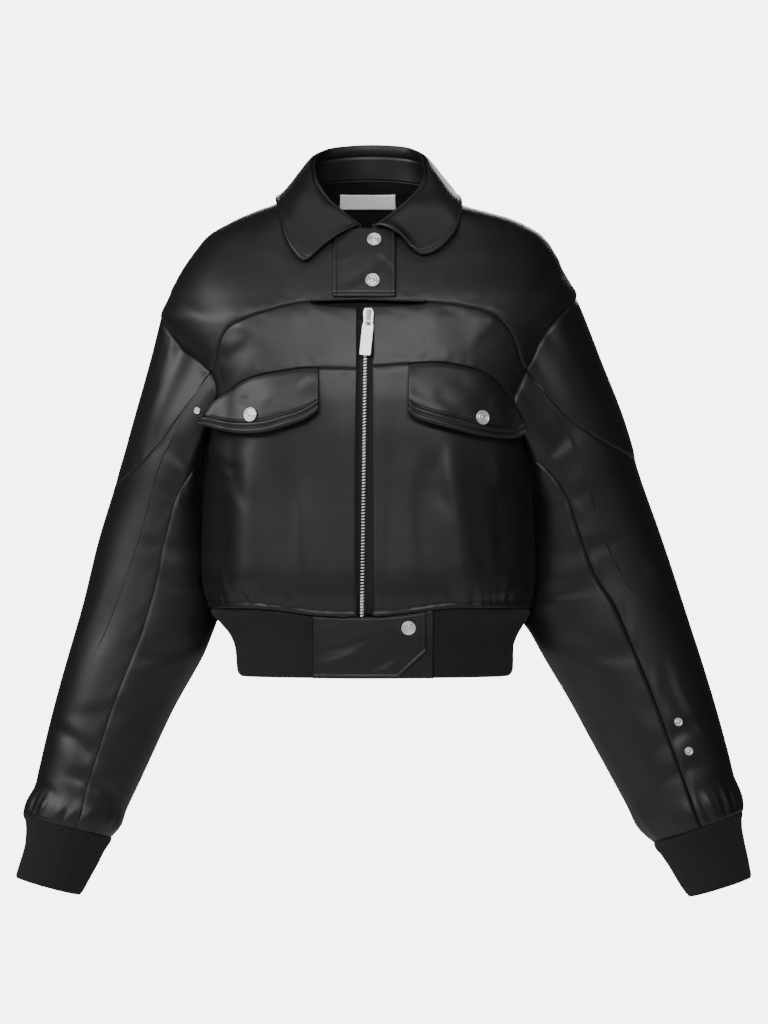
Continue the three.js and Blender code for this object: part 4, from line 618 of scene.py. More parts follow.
def tube(name, path, radius, material, sides):
    """Round cord along a path of points."""
    path = np.asarray(path, float)
    tangent = unit(np.gradient(path, axis=0))
    up = np.array([0.0, 0.0, 1.0]) if abs(tangent[0, 2]) < 0.8 else np.array([1.0, 0.0, 0.0])
    side = unit(np.cross(tangent, up))
    over = np.cross(side, tangent)
    turn = np.linspace(0, 2 * np.pi, sides, endpoint=False)
    rings = path[:, None] + radius * (
        np.cos(turn)[None, :, None] * side[:, None] + np.sin(turn)[None, :, None] * over[:, None])
    points = rings.reshape(-1, 3)
    faces = [list(face) for face in grid_faces(len(path), sides, 0, True)]
    faces.append(list(range(sides))[::-1])
    faces.append([(len(path) - 1) * sides + k for k in range(sides)])
    obj = mesh_object(name, points, faces, material)
    orient(obj)
    return obj


def orient(obj):
    """Faces of a closed piece point outwards."""
    work = bmesh.new()
    work.from_mesh(obj.data)
    bmesh.ops.recalc_face_normals(work, faces=work.faces)
    work.to_mesh(obj.data)
    work.free()


def joined_objects(name, objects):
    """One piece made of several meshes with the same material."""
    work = bmesh.new()
    for obj in objects:
        work.from_mesh(obj.data)
    mesh = bpy.data.meshes.new(name)
    work.to_mesh(mesh)
    work.free()
    mesh.materials.append(objects[0].data.materials[0])
    for polygon in mesh.polygons:
        polygon.use_smooth = True
    for obj in objects:
        bpy.data.objects.remove(obj)
    result = bpy.data.objects.new(name, mesh)
    bpy.context.scene.collection.objects.link(result)
    return result


def fill(low, high, first, last):
    """Grid of places inside four edges: low and high run across, first and last run up."""
    s = np.linspace(0, 1, len(low))[None, :, None]
    t = np.linspace(0, 1, len(first))[:, None, None]
    grid = mix(low[None], high[None], t) + mix(first[:, None], last[:, None], s)
    grid = grid - mix(mix(low[0], low[-1], s), mix(high[0], high[-1], s), t)
    grid[0], grid[-1], grid[:, 0], grid[:, -1] = low, high, first, last
    return grid


# Armhole and sleeve


def arm_place(side, around):
    rows = side["arm"]
    low, top = rows.data[0, 0], rows.data[-1, 0]
    z = top + (low - top) * (1 - np.cos(around)) / 2
    back = np.sin(around) < 0
    half = BODY.at("left" if side["sign"] < 0 else "right", z)
    front = np.minimum(rows.at("out", z), half)
    eased = np.where(back, mix(front, half, BACK_ARM_EASE), front)
    out = np.where(np.abs(np.sin(around)) < 1e-6, half, eased)
    angle = angle_at(BODY, side["sign"] * out, z)
    return np.stack([np.where(back, 2 * np.pi - angle, angle), z], -1)


def sleeve_ring(side, run, around):
    rows = side["sleeve"]
    share = (1 - np.cos(around)) / 2
    deep = np.where(np.sin(around) >= 0, rows.at("front", run), rows.at("back", run))
    x = side["sign"] * mix(rows.at("outX", run), rows.at("inX", run), share)
    y = rows.at("mid", run) - deep * np.sin(around)
    return np.stack(np.broadcast_arrays(x, y, mix(rows.at("outZ", run), rows.at("inZ", run), share)), -1)


def torso_half(side, y, z):
    hand = "left" if side["sign"] < 0 else "right"
    result = []
    for table in (BAND, BODY):
        deep = np.where(y < 0, table.at("front", z), table.at("back", z))
        square = table.at("square", z)
        ratio = np.minimum(np.abs(y) / deep, 1)
        result.append(table.at(hand, z) * (1 - ratio ** square) ** (1 / square))
    return np.where(z < HEM["z"], result[0], result[1])


def sleeve_point(side, around, run):
    around, run = np.broadcast_arrays(np.asarray(around, float), np.asarray(run, float))
    point = sleeve_ring(side, run, around)
    place = arm_place(side, around)
    seam = body_point(place[..., 0], place[..., 1])
    keep = np.clip(1 - run / ARM_BLEND_END, 0, 1) ** 2
    point = point + (seam - sleeve_ring(side, 0 * run, around)) * keep[..., None]
    under_z = side["arm"].data[0, 0]
    clear = TORSO_CLEARANCE * np.clip((under_z - point[..., 2]) / 20, 0, 1)
    limit = torso_half(side, point[..., 1], point[..., 2]) + clear
    below = (point[..., 2] < under_z) & (np.abs(point[..., 0]) < limit)
    point[..., 0] = np.where(below, side["sign"] * limit, point[..., 0])
    return point


def sleeve_normal(side, around, run):
    before = np.maximum(run - 0.006, 0)
    down = sleeve_point(side, around, before + 0.012) - sleeve_point(side, around, before)
    across = sleeve_point(side, around + 0.03, run) - sleeve_point(side, around - 0.03, run)
    return unit(np.cross(down, across)) * -side["sign"]


FINE = 8
SLEEVE_FINE = 6
BACK_FINE = 6
SLEEVE_RUN = 620.0  # length of a sleeve that its creases and gathers are spaced along
STEPS = {
    "slit": 3, "yoke_seam": 7, "front_edge": 3, "neck_front": 3, "neck_back": 6, "shoulder": 10,
    "arm_upper": 6, "arm_middle": 3, "arm_lower": 4, "arm_under": 3, "side": 8, "cap": 4,
}
ACROSS = STEPS["slit"] + STEPS["yoke_seam"]


def around_at_height(side, z):
    rows = side["arm"]
    low, top = rows.data[0, 0], rows.data[-1, 0]
    return math.acos(1 - 2 * (top - z) / (top - low))


def arm_stretches(side, back, fine):
    """Angles round the armhole: shoulder, yoke seam, flap seam, long sleeve seam, underarm."""
    turn = -1 if back else 1
    stops = [
        0, around_at_height(side, side["yoke_end_z"]), around_at_height(side, side["flap_end_z"]),
        math.radians(side["long_seam"].data[0, 1]), math.pi - 1e-7,
    ]
    names = ("arm_upper", "arm_middle", "arm_lower", "arm_under")
    runs = zip(names, stops, stops[1:])
    return {name: turn * np.linspace(start, end, STEPS[name] * fine + 1) for name, start, end in runs}


def shoulder_seam(side, fine):
    end = side["arm"].data[-1, 0]
    share = np.linspace(0, 1, STEPS["shoulder"] * fine + 1) ** 1.8
    ridge = math.pi if side["sign"] < 0 else 0
    return np.stack([np.full_like(share, ridge), mix(NECK["shoulder_z"], end, share)], -1)


def neck_place(turn):
    cos = np.cos(turn)
    base = np.where(cos > 0, NECK["front_z"], NECK["back_z"])
    z = base + (NECK["shoulder_z"] - base) * (1 - np.abs(cos))
    x = -NECK["half"] * np.sin(turn)
    angle = angle_at(BODY, x, z)
    return np.stack([np.where(cos < 0, 2 * np.pi - angle, angle), z], -1)


def hem_z(angle):
    point = ring_point(BODY, angle, HEM["z"] + 0 * np.asarray(angle, float))
    dip = HEM["dip"] * (1 - smooth(HEM["flat_to"], HEM["ends_at"], np.abs(point[..., 0] - HEM["dip_x"])))
    return HEM["z"] - np.where(point[..., 1] > 0, 0, dip)


def seam_places(side, rows, end_place, steps):
    end = body_point(end_place[0], end_place[1])
    run = spline(list(rows) + [(abs(end[0]), end[2])], steps)
    places = body_place(side["sign"] * run[:, 0], run[:, 1])
    places[-1] = end_place
    return places


def slit_edge(side, from_x, sag, fine):
    slit = side["slit"]
    x = np.linspace(from_x, slit["out"], STEPS["slit"] * fine + 1)
    if sag:
        drop = (slit["dip"] + 1.4) * np.maximum(np.cos(np.pi / 2 * x / slit["out"]), 0) ** 0.55
    else:
        drop = -1.7 * (1 - x / slit["out"])
    return body_place(side["sign"] * np.maximum(x, 0.001), slit["z"] - drop)


def edge_at_x(x, from_z, to_z, steps):
    return body_place(x, np.linspace(from_z, to_z, steps + 1))


# Cloth panels


def panel(name, grid, surface, normal_at, relief, material, sizes, node):
    u, v = grid[..., 0], grid[..., 1]
    points = surface(u, v)
    normals = normal_at(u, v)
    height = relief(points)
    outer = points + normals * height[..., None]
    inner = outer - normals * sizes.cloth * 1000
    obj = shell(name, outer, inner, material)
    finish_piece(obj, GARMENT, "satin", node)


def calm_at_edges(points):
    """Creases fade close to the edges of a panel."""
    calm = np.ones(points.shape[:2])
    for away in edge_distances(points).values():
        calm = calm * (1 - 0.85 * np.exp(-(away / 5) ** 2))
    return calm


def body_relief(seams, sizes, seed):
    def relief(points):
        x, y, z = points[..., 0], points[..., 1], points[..., 2]
        creases = np.where(y < 0, crease_height(x, z, FRONT_CREASES), crease_height(x, z, BACK_CREASES))
        slow = 0.55 * ripples(points * np.array([1, 1, 0.6]), 62, seed)
        return (creases + slow) * calm_at_edges(points) + seam_relief(points, seams, sizes, seed + 1)
    return relief


def welt(points, seed):
    """Rolled lip of satin just above the hem seam, fuller in some places than in others."""
    away = edge_distances(points)["low"]
    full = 1 + 0.45 * ripples(points, 55, seed)
    return 2.3 * full * np.exp(-((away - 2.6) / 2.3) ** 2) - 1.1 * np.exp(-((away - 7.4) / 1.6) ** 2)


def gathered(points, edge, deep, pitch, seed):
    """Short gathers that run out from an edge, such as the hem seam."""
    away = edge_distances(points)[edge]
    along = points[..., 0] + 12 * ripples(points, 60, seed)
    waves = np.sin(along * 2 * np.pi / pitch) + 0.5 * np.sin(along * 2 * np.pi / (pitch * 0.61) + 1.3)
    return deep * waves * np.exp(-((away - 9) / 11) ** 2) * (1 - np.exp(-(away / 3) ** 2))


def front_panels(name, side, sizes, satin):
    fine, sign = FINE, side["sign"]
    arm = {key: arm_place(side, run) for key, run in arm_stretches(side, False, fine).items()}
    yoke_seam = seam_places(side, side["yoke_seam"], arm["arm_upper"][-1], STEPS["yoke_seam"] * fine)
    yoke_low = joined(slit_edge(side, 0, False, fine), yoke_seam)
    chest_high = joined(slit_edge(side, side["zip_x"], True, fine), yoke_seam)
    flap_seam = seam_places(side, side["flap_seam"], arm["arm_middle"][-1], ACROSS * fine)
    edge = edge_at_x(sign * 0.001, yoke_low[0, 1], NECK["front_z"], STEPS["front_edge"] * fine)
    neck = neck_place(np.linspace(0, -sign * np.pi / 2, STEPS["neck_front"] * fine + 1))
    shoulder = shoulder_seam(side, fine)
    neck[-1] = shoulder[0]
    seed = 11 if sign < 0 else 23
    seams = ("low", "high", "last")

    def front(piece, edges, relief, node):
        panel(piece, fill(*edges), body_point, body_normal, relief, satin, sizes, node)

    front(
        f"yoke_{name}", (yoke_low, shoulder, joined(edge, neck), arm["arm_upper"][::-1]),
        body_relief(seams, sizes, seed), f"front_yoke_{name}")
    chest_edge = edge_at_x(sign * side["zip_x"], flap_seam[0, 1], chest_high[0, 1], STEPS["arm_middle"] * fine)
    front(
        f"chest_panel_{name}", (flap_seam, chest_high, chest_edge, arm["arm_middle"][::-1]),
        body_relief(seams, sizes, seed + 3), f"chest_{name}")
    ridge = math.pi if sign < 0 else 0
    start = float(angle_at(BODY, sign * side["zip_x"], HEM["z"]))
    angles = np.linspace(start, ridge, ACROSS * fine + 1)
    hem = np.stack([angles, hem_z(angles)], -1)
    rise = (STEPS["side"] + STEPS["arm_lower"] + STEPS["arm_under"]) * fine
    low_side = np.linspace(hem[-1], arm["arm_under"][-1], STEPS["side"] * fine + 1)
    outside = joined(low_side, arm["arm_under"][::-1], arm["arm_lower"][::-1])
    inside = edge_at_x(sign * side["zip_x"], hem[0, 1], flap_seam[0, 1], rise)
    base = body_relief(seams, sizes, seed + 5)

    def relief(points):
        return base(points) + gathered(points, "low", 0.55, 15, seed) + welt(points, seed)

    front(f"lower_front_panel_{name}", (hem, flap_seam, inside, outside), relief, f"lower_front_{name}")


def back_panel(sizes, satin):
    fine = BACK_FINE

    def whole(places):
        places = places.copy()
        places[:, 0] = np.where(places[:, 0] < 1e-6, 2 * np.pi, places[:, 0])
        return places

    def edge(name):
        side = SIDES[name]
        arm = {key: whole(arm_place(side, run)) for key, run in arm_stretches(side, True, fine).items()}
        ridge = math.pi if side["sign"] < 0 else 2 * math.pi
        underarm = np.array([ridge, arm["arm_under"][-1][1]])
        low = np.linspace(np.array([ridge, HEM["z"]]), underarm, STEPS["side"] * fine + 1)
        return joined(low, *(arm[key][::-1] for key in ("arm_under", "arm_lower", "arm_middle", "arm_upper")))

    neck = whole(neck_place(np.linspace(np.pi / 2, 3 * np.pi / 2, STEPS["neck_back"] * fine + 1)))
    neck[0] = (math.pi, NECK["shoulder_z"])
    neck[-1] = (2 * math.pi, NECK["shoulder_z"])
    high = joined(shoulder_seam(SIDES["left"], fine)[::-1], neck, whole(shoulder_seam(SIDES["right"], fine)))
    first, last = edge("left"), edge("right")
    high[0], high[-1] = first[-1], last[-1]
    low = np.linspace([math.pi, HEM["z"]], [2 * math.pi, HEM["z"]], len(high))
    base = body_relief(("low", "high", "first", "last"), sizes, 41)

    def relief(points):
        return base(points) + gathered(points, "low", 0.6, 16, 43) + welt(points, 44)

    panel("back_panel", fill(low, high, first, last), body_point, body_normal, relief, satin, sizes, "back")


def sleeve_relief(name, seams, sizes, seed):
    def make(grid):
        around, run = np.degrees(grid[..., 0]), grid[..., 1]
        around = np.where(around > 180, around - 360, around)
        creases = [
            ((a[0], a[1] * SLEEVE_RUN), (b[0], b[1] * SLEEVE_RUN), width, deep, bow)
            for a, b, width, deep, bow in SLEEVE_CREASES[name]
        ]

        def relief(points):
            height = crease_height(around, run * SLEEVE_RUN, creases, stretch=1.0)
            slow = 0.7 * ripples(points * np.array([1, 1, 0.55]), 70, seed)
            height = (height + slow) * calm_at_edges(points) + seam_relief(points, seams, sizes, seed + 1)
            wrist = (1 - run) * SLEEVE_RUN
            angle = grid[..., 0]
            waves = np.sin(angle * 17 + 1.4 * np.sin(angle * 3 + seed)) + 0.6 * np.sin(angle * 29 + seed)
            near_wrist = np.exp(-((wrist - 13) / 13) ** 2) * (1 - np.exp(-(wrist / 4) ** 2))
            return height + 0.75 * waves * near_wrist + 2.6 * np.exp(-((wrist - 15) / 13) ** 2)
        return relief
    return make


def sleeve_panels(name, side, sizes, satin):
    fine = SLEEVE_FINE
    front, back = arm_stretches(side, False, fine), arm_stretches(side, True, fine)
    seed = 61 if side["sign"] < 0 else 83

    def on_arm(run):
        return np.stack([run, 0 * run], -1)

    def surface(u, v):
        return sleeve_point(side, u, v)

    def normal_at(u, v):
        return sleeve_normal(side, u, v)

    def make(piece, grid, seams, shift, node):
        relief = sleeve_relief(name, seams, sizes, seed + shift)(grid)
        panel(piece, grid, surface, normal_at, relief, satin, sizes, node)

    half = spline(side["cap_seam"], STEPS["arm_upper"] * fine)
    cap_front = np.stack([np.radians(half[:, 0]), half[:, 1]], -1)
    cap_front[0] = (front["arm_upper"][-1], 0)
    cap_back = cap_front * np.array([-1, 1])
    cap_back[0] = (back["arm_upper"][-1], 0)
    cap_seam = joined(cap_front, cap_back[::-1])
    cap_top = on_arm(np.concatenate([front["arm_upper"][::-1], back["arm_upper"][1:]]))
    share = np.linspace(0, 1, STEPS["cap"] * fine + 1)[:, None, None]
    cap = mix(cap_top[None], cap_seam[None], share)
    make(f"cap_panel_{name}", cap, ("low", "high"), 0, f"sleeve_cap_{name}")

    run = np.linspace(0, 1, 116)
    long_seam = np.radians(side["long_seam"].at("around", run))
    top = joined(
        on_arm(front["arm_lower"][::-1]), on_arm(front["arm_middle"][::-1]), cap_seam,
        on_arm(back["arm_middle"]), on_arm(back["arm_lower"]))
    cap_start, long_start = cap_seam[0, 0], top[0, 0]
    narrow = mix(1, CAP_NARROWING, smooth(0.1, 1, run))[:, None]
    beyond = (np.abs(top[:, 0]) - cap_start) / (long_start - cap_start)
    spread = np.sign(top[:, 0]) * mix(cap_start * narrow, long_seam[:, None], np.clip(beyond, 0, 1)[None])
    u = np.where(beyond[None] <= 0, top[None, :, 0] * narrow, spread)
    v = mix(top[None, :, 1], 1, run[:, None])
    upper = np.stack([u, v], -1)
    make(f"upper_sleeve_{name}", upper, ("low", "high", "first", "last"), 3, f"sleeve_upper_{name}")

    under_top = np.concatenate([front["arm_under"], 2 * np.pi + back["arm_under"][::-1][1:]])
    seam_share = np.linspace(0, 1, len(under_top))[None]
    under_u = mix(long_seam[:, None], 2 * np.pi - long_seam[:, None], seam_share)
    under_u[0] = under_top
    under = np.stack([under_u, np.broadcast_to(run[:, None], under_u.shape)], -1)
    make(f"under_sleeve_{name}", under, ("low", "high", "first", "last"), 5, f"sleeve_under_{name}")


# Ribs


def new_tree(name, start, sizes, result):
    """An empty tree: its geometry input, its named sizes and its geometry output."""
    tree = bpy.data.node_groups.new(name, "GeometryNodeTree")
    tree.interface.new_socket(start, in_out="INPUT", socket_type="NodeSocketGeometry")
    for size in sizes:
        tree.interface.new_socket(size, in_out="INPUT", socket_type="NodeSocketFloat")
    tree.interface.new_socket(result, in_out="OUTPUT", socket_type="NodeSocketGeometry")
    return tree, tree.nodes, tree.links, tree.nodes.new("NodeGroupInput")


def end_tree(nodes, links, geometry, material):
    """Ends a tree in real geometry with its finish set."""
    realize, paint = nodes.new("GeometryNodeRealizeInstances"), nodes.new("GeometryNodeSetMaterial")
    paint.inputs["Material"].default_value = material
    links.new(geometry, realize.inputs["Geometry"])
    links.new(realize.outputs["Geometry"], paint.inputs["Geometry"])
    links.new(paint.outputs["Geometry"], nodes.new("NodeGroupOutput").inputs[0])


def rib_tree(material):
    """Lowers a plain wall between its ribs, which run along the columns of the wall."""
    tree, nodes, links, enter = new_tree("knitted_ribs", "Wall", ("Ribs", "Height"), "Ribbed wall")

    def named(name, kind):
        node = nodes.new("GeometryNodeInputNamedAttribute")
        node.data_type = kind
        node.inputs["Name"].default_value = name
        return node.outputs["Attribute"]

    def maths(operation, value, other=None):
        node = nodes.new("ShaderNodeMath")
        node.operation = operation
        links.new(value, node.inputs[0])
        if isinstance(other, (int, float)):
            node.inputs[1].default_value = other
        elif other is not None:
            links.new(other, node.inputs[1])
        return node.outputs["Value"]

    turn = maths("MULTIPLY", maths("MULTIPLY", named("rib_place", "FLOAT"), enter.outputs["Ribs"]), math.pi)
    ridge = maths("POWER", maths("ABSOLUTE", maths("COSINE", turn)), 0.75)
    valley = maths("MULTIPLY", maths("SUBTRACT", ridge, 1.0), enter.outputs["Height"])
    move = nodes.new("ShaderNodeVectorMath")
    move.operation = "SCALE"
    links.new(named("rib_out", "FLOAT_VECTOR"), move.inputs["Vector"])
    links.new(valley, move.inputs["Scale"])
    place = nodes.new("GeometryNodeSetPosition")
    links.new(enter.outputs["Wall"], place.inputs["Geometry"])
    links.new(move.outputs["Vector"], place.inputs["Offset"])
    end_tree(nodes, links, place.outputs["Geometry"], material)
    return tree


def plain_result(obj, tree, **inputs):
    """Runs a tree on an object, with its inputs set by name, and keeps the result as a plain mesh."""
    modifier = obj.modifiers.new("tree", "NODES")
    modifier.node_group = tree
    sockets = {item.name: item.identifier for item in tree.interface.items_tree if item.in_out == "INPUT"}
    for name, value in inputs.items():
        modifier[sockets[name]] = float(value)
    bpy.context.view_layer.update()
    result = bpy.data.meshes.new_from_object(obj.evaluated_get(bpy.context.evaluated_depsgraph_get()))
    obj.modifiers.remove(modifier)
    result.name = obj.name
    obj.data = result
    return result


def raise_ribs(obj, ribs, outward, share, material):
    """outward: which way the ribs rise at each outer point; share: how far along the wall's width it lies."""
    count = len(obj.data.vertices)
    place, out = np.zeros(count, np.float32), np.zeros((count, 3), np.float32)
    place[:share.size] = share.ravel()
    out[:share.size] = outward.reshape(-1, 3)
    obj.data.attributes.new("rib_place", "FLOAT", "POINT").data.foreach_set("value", place)
    obj.data.attributes.new("rib_out", "FLOAT_VECTOR", "POINT").data.foreach_set("vector", out.ravel())
    result = plain_result(obj, rib_tree(material), Ribs=ribs, Height=RIB_HEIGHT * MM)
    for name in ("rib_place", "rib_out"):
        result.attributes.remove(result.attributes[name])


def cuff(name, side, sizes, rib):
    last = side["sleeve"].data[-1, 1:]
    rows = np.array(side["cuff"], float)
    start = mix(last, rows[0], 0.05)
    table = np.vstack([start, rows])
    run = np.concatenate([[0], np.cumsum(np.hypot(*np.diff(table[:, :2], axis=0).T))])
    want = np.linspace(0, run[-1], 27)
    values = {key: np.interp(want, run, table[:, k])[:, None] for k, key in enumerate(CUFF_KEYS)}
    ribs = sizes.cuff_ribs
    columns = ribs * 6 + 1
    around = np.linspace(0, 2 * np.pi, columns)[None]
    share = (1 - np.cos(around)) / 2
    deep = np.where(np.sin(around) >= 0, values["front"], values["back"])
    x = side["sign"] * mix(values["outX"], values["inX"], share)
    y = values["mid"] - deep * np.sin(around)
    z = mix(values["outZ"], values["inZ"], share)
    points = np.stack(np.broadcast_arrays(x, y, z), -1)
    centre = points[:, :-1].mean(1, keepdims=True)
    outward = unit(points - centre)
    level = (want / run[-1])[:, None]
    swell = 1.6 * np.exp(-((level - 0.1) / 0.12) ** 2) - 0.9 * np.exp(-(level / 0.03) ** 2)
    soft = 0.8 * ripples(points, 60, 5 + side["sign"])
    fold = -1.0 * np.exp(-((level - 1) / 0.03) ** 2)
    height = swell + soft + fold
    outer = points + outward * height[..., None]
    outer[:, -1] = outer[:, 0]
    inner = points - outward * 2.6
    inner[:, -1] = inner[:, 0]
    obj = shell(f"rib_cuff_{name}", outer, inner, rib, around=True)
    share = np.broadcast_to(around / (2 * np.pi), level.shape[:1] + around.shape[1:])
    raise_ribs(obj, ribs, (outward * smooth(0.0, 0.05, level)[..., None])[:, :-1], share[:, :-1], rib)
    finish_piece(obj, GARMENT, "knit_rib", f"cuff_{name}")


def hem_band(sizes, rib):
    ribs = sizes.hem_ribs
    stretches = [
        ("hem_rib_left", lambda z: angle_at(BAND, HEM_TAB["left"] - 0.2, z), lambda z: math.pi + 0 * z, 0.21),
        ("hem_rib_back", lambda z: math.pi + 0 * z, lambda z: 2 * math.pi + 0 * z, 0.5),
        ("hem_rib_right", lambda z: 2 * math.pi + 0 * z,
         lambda z: 2 * math.pi + angle_at(BAND, UNDERLAP["right"] + 0.4, z), 0.19),
    ]
    for node, start, end, share in stretches:
        count = round(ribs * share)
        columns = count * 6 + 1
        level = np.linspace(0, 1, 29)[:, None]
        heights = mix(HEM["z"], BAND_END_Z, level)
        angle = mix(start(heights), end(heights), np.linspace(0, 1, columns)[None])
        z = mix(hem_z(angle) - 0.2, BAND_END_Z, level)
        points = band_point(angle, z)
        normals = ring_normal(band_point, angle, z)
        swell = 1.5 * np.exp(-((level - 0.09) / 0.08) ** 2) - 1.2 * np.exp(-(level / 0.03) ** 2)
        curl = 3.5 * np.clip((level - 0.88) / 0.12, 0, 1) ** 3
        points = points - normals * curl[..., None]
        height = swell + 0.7 * ripples(points, 70, 9)
        outer = points + normals * height[..., None]
        inner = points - normals * 2.5
        obj = shell(node + "_knit", outer, inner, rib)
        across = np.broadcast_to(np.linspace(0, 1, columns)[None], z.shape)
        raise_ribs(obj, count, normals * smooth(0.02, 0.1, level)[..., None], across, rib)
        finish_piece(obj, GARMENT, "knit_rib", node)


# Tabs, flaps, label


def patch(table, surface, xs, zs, back=False):
    """Points and normals of a patch that lies on a ringed form; zs is a grid of heights."""
    x = np.broadcast_to(xs[None], zs.shape)
    angle = angle_at(table, x, zs, back)
    return surface(angle, zs), ring_normal(surface, angle, zs)


def rounded(distances, radius=1.6, deep=0.9):
    """Turned edges of a faced piece fall away over a small radius."""
    fall = np.zeros_like(distances[0])
    for away in distances:
        fall = fall - deep * np.clip(1 - away / radius, 0, 1) ** 2
    return fall


def groove(distance, at, deep=0.45, width=0.8):
    return -deep * np.exp(-((distance - at) / width) ** 2)


def raised(distance, at, rise):
    return rise * np.exp(-((distance - at) / 2) ** 2)


TAB_THICK = 2.1  # a tab or the collar, faced and turned
STITCH_IN = 5  # from an edge to its row of topstitching


def neck_tab(satin):
    tab = NECK_TAB
    xs = np.linspace(tab["left"], tab["right"], 72)
    zs = np.broadcast_to(np.linspace(tab["low"], tab["high"], 74)[:, None], (74, 72))
    points, normals = patch(BODY, body_point, xs, zs)
    away = edge_distances(points)
    height = rounded([away["low"], away["first"], away["last"]])
    for key in ("low", "first", "last"):
        height = height + groove(away[key], STITCH_IN) + raised(away[key], 2.6, 0.45)
    x, z = points[..., 0], points[..., 2]
    height = height + crease_height(x, z, [
        ((-30, -96), (22, -60), 7, -0.9, 3),
        ((-34, -70), (-6, -52), 6, 0.8, 2),
        ((26, -84), (8, -62), 5, -0.6, 2)])
    outer = points + normals * (tab["lift"] + TAB_THICK + height)[..., None]
    inner = points + normals * tab["lift"]
    obj = shell("neck_tab_cloth", outer, inner, satin)
    finish_piece(obj, GARMENT, "satin", "neck_tab")


def slit_pieces(sizes, satin, inside):
    lay = UNDERLAY
    xs = np.linspace(lay["left"], lay["right"], 60)
    zs = np.broadcast_to(np.linspace(lay["low"], lay["high"], 14)[:, None], (14, 60))
    points, normals = patch(BODY, body_point, xs, zs)
    depth = sizes.cloth * 1000 + lay["depth"]
    outer = points - normals * depth
    # The underlay's satin has its shine cut down: painted shade behind the slit.
    obj = shell("slit_underlay_cloth", outer, outer - normals, inside)
    finish_piece(obj, GARMENT, "satin", "slit_underlay")
    path = []
    for name in ("left", "right"):
        places = slit_edge(SIDES[name], 0, False, 12)
        run = body_point(places[:, 0], places[:, 1]) + body_normal(places[:, 0], places[:, 1]) * 1.65
        run[:, 2] += 0.6
        path.append(run[::-1] if name == "left" else run[1:])
    obj = tube("slit_piping_cord", np.vstack(path), 1.3, satin, 12)
    finish_piece(obj, GARMENT, "satin", "slit_piping")


def label(sizes, white):
    lab = LABEL
    xs = np.linspace(lab["left"], lab["right"], 40)
    zs = np.broadcast_to(np.linspace(lab["low"], lab["high"], 12)[:, None], (12, 40))
    points, normals = patch(BODY, body_point, xs, zs, back=True)
    depth = sizes.cloth * 1000 + lab["depth"]
    outer = points - normals * depth
    inner = outer - normals * lab["thick"]
    obj = shell("neck_label_blank", outer, inner, white)
    finish_piece(obj, GARMENT, "label_cloth", "label")


def hem_tab(satin):
    tab = HEM_TAB
    slanted = np.linspace(tab["corner_x"], tab["right"], 28)[1:]
    xs = np.concatenate([np.linspace(tab["left"], tab["corner_x"], 70), slanted])
    top = hem_z(angle_at(BODY, xs, HEM["z"])) - 0.3
    slant = (xs - tab["corner_x"]) / (tab["right"] - tab["corner_x"])
    bottom = np.where(xs < tab["corner_x"], tab["low"], mix(tab["low"], tab["corner_z"], slant))
    zs = mix(bottom[None], top[None], np.linspace(0, 1, 60)[:, None])
    points, normals = patch(BAND, band_point, xs, zs)
    away = edge_distances(points)
    height = rounded([away["low"], away["first"], away["last"], away["high"]])
    for key in ("low", "first", "last", "high"):
        height = height + groove(away[key], STITCH_IN) + raised(away[key], 2.5, 0.5)
    x, z = points[..., 0], points[..., 2]
    height = height + crease_height(x, z, [
        ((-52, -470), (10, -448), 8, -1.2, 4), ((-50, -484), (-8, -470), 6, 0.9, 3),
        ((50, -462), (14, -440), 6, -0.9, 3), ((-48, -446), (-20, -440), 4, -0.7, 2),
        ((0, -490), (28, -474), 6, -0.8, 2)])
    over = TAB_THICK * smooth(tab["overlap_from"], tab["overlap_to"], x)
    outer = points + normals * (over + TAB_THICK + height)[..., None]
    inner = points + normals * over[..., None]
    obj = shell("hem_tab_cloth", outer, inner, satin)
    finish_piece(obj, GARMENT, "satin", "hem_tab")
    xs = np.linspace(UNDERLAP["left"], UNDERLAP["right"], 60)
    top = hem_z(angle_at(BODY, xs, HEM["z"])) - 0.3
    zs = mix(BAND_END_Z, top[None], np.linspace(0, 1, 40)[:, None])
    points, normals = patch(BAND, band_point, xs, zs)
    away = edge_distances(points)
    height = rounded([away["low"], away["last"]]) + groove(away["last"], 4) + groove(away["low"], 4)
    outer = points + normals * (UNDERLAP["lift"] + 1.6 + height)[..., None]
    inner = points + normals * UNDERLAP["lift"]
    obj = shell("hem_underlap_cloth", outer, inner, satin)
    finish_piece(obj, GARMENT, "satin", "hem_underlap")


def flap_base(x, z):
    reach = FLAP["reach"] * smooth(FLAP["reach_from"], FLAP["reach_to"], np.abs(x))
    half = np.where(x < 0, BODY.at("left", z), BODY.at("right", z)) + reach
    square = BODY.at("square", z)
    deep = BODY.at("front", z)
    ratio = np.minimum(np.abs(x) / half, 1)
    y = -deep * (1 - ratio ** square) ** (1 / square)
    sideways = x * np.abs(x) ** (square - 2) / half ** square
    forward = -np.abs(y) ** (square - 1) / deep ** square
    normal = np.stack([sideways, forward, 0 * x], -1)
    point = np.stack([x, y, z], -1)
    point[..., 1] -= fold_height(point)
    return point, unit(normal)


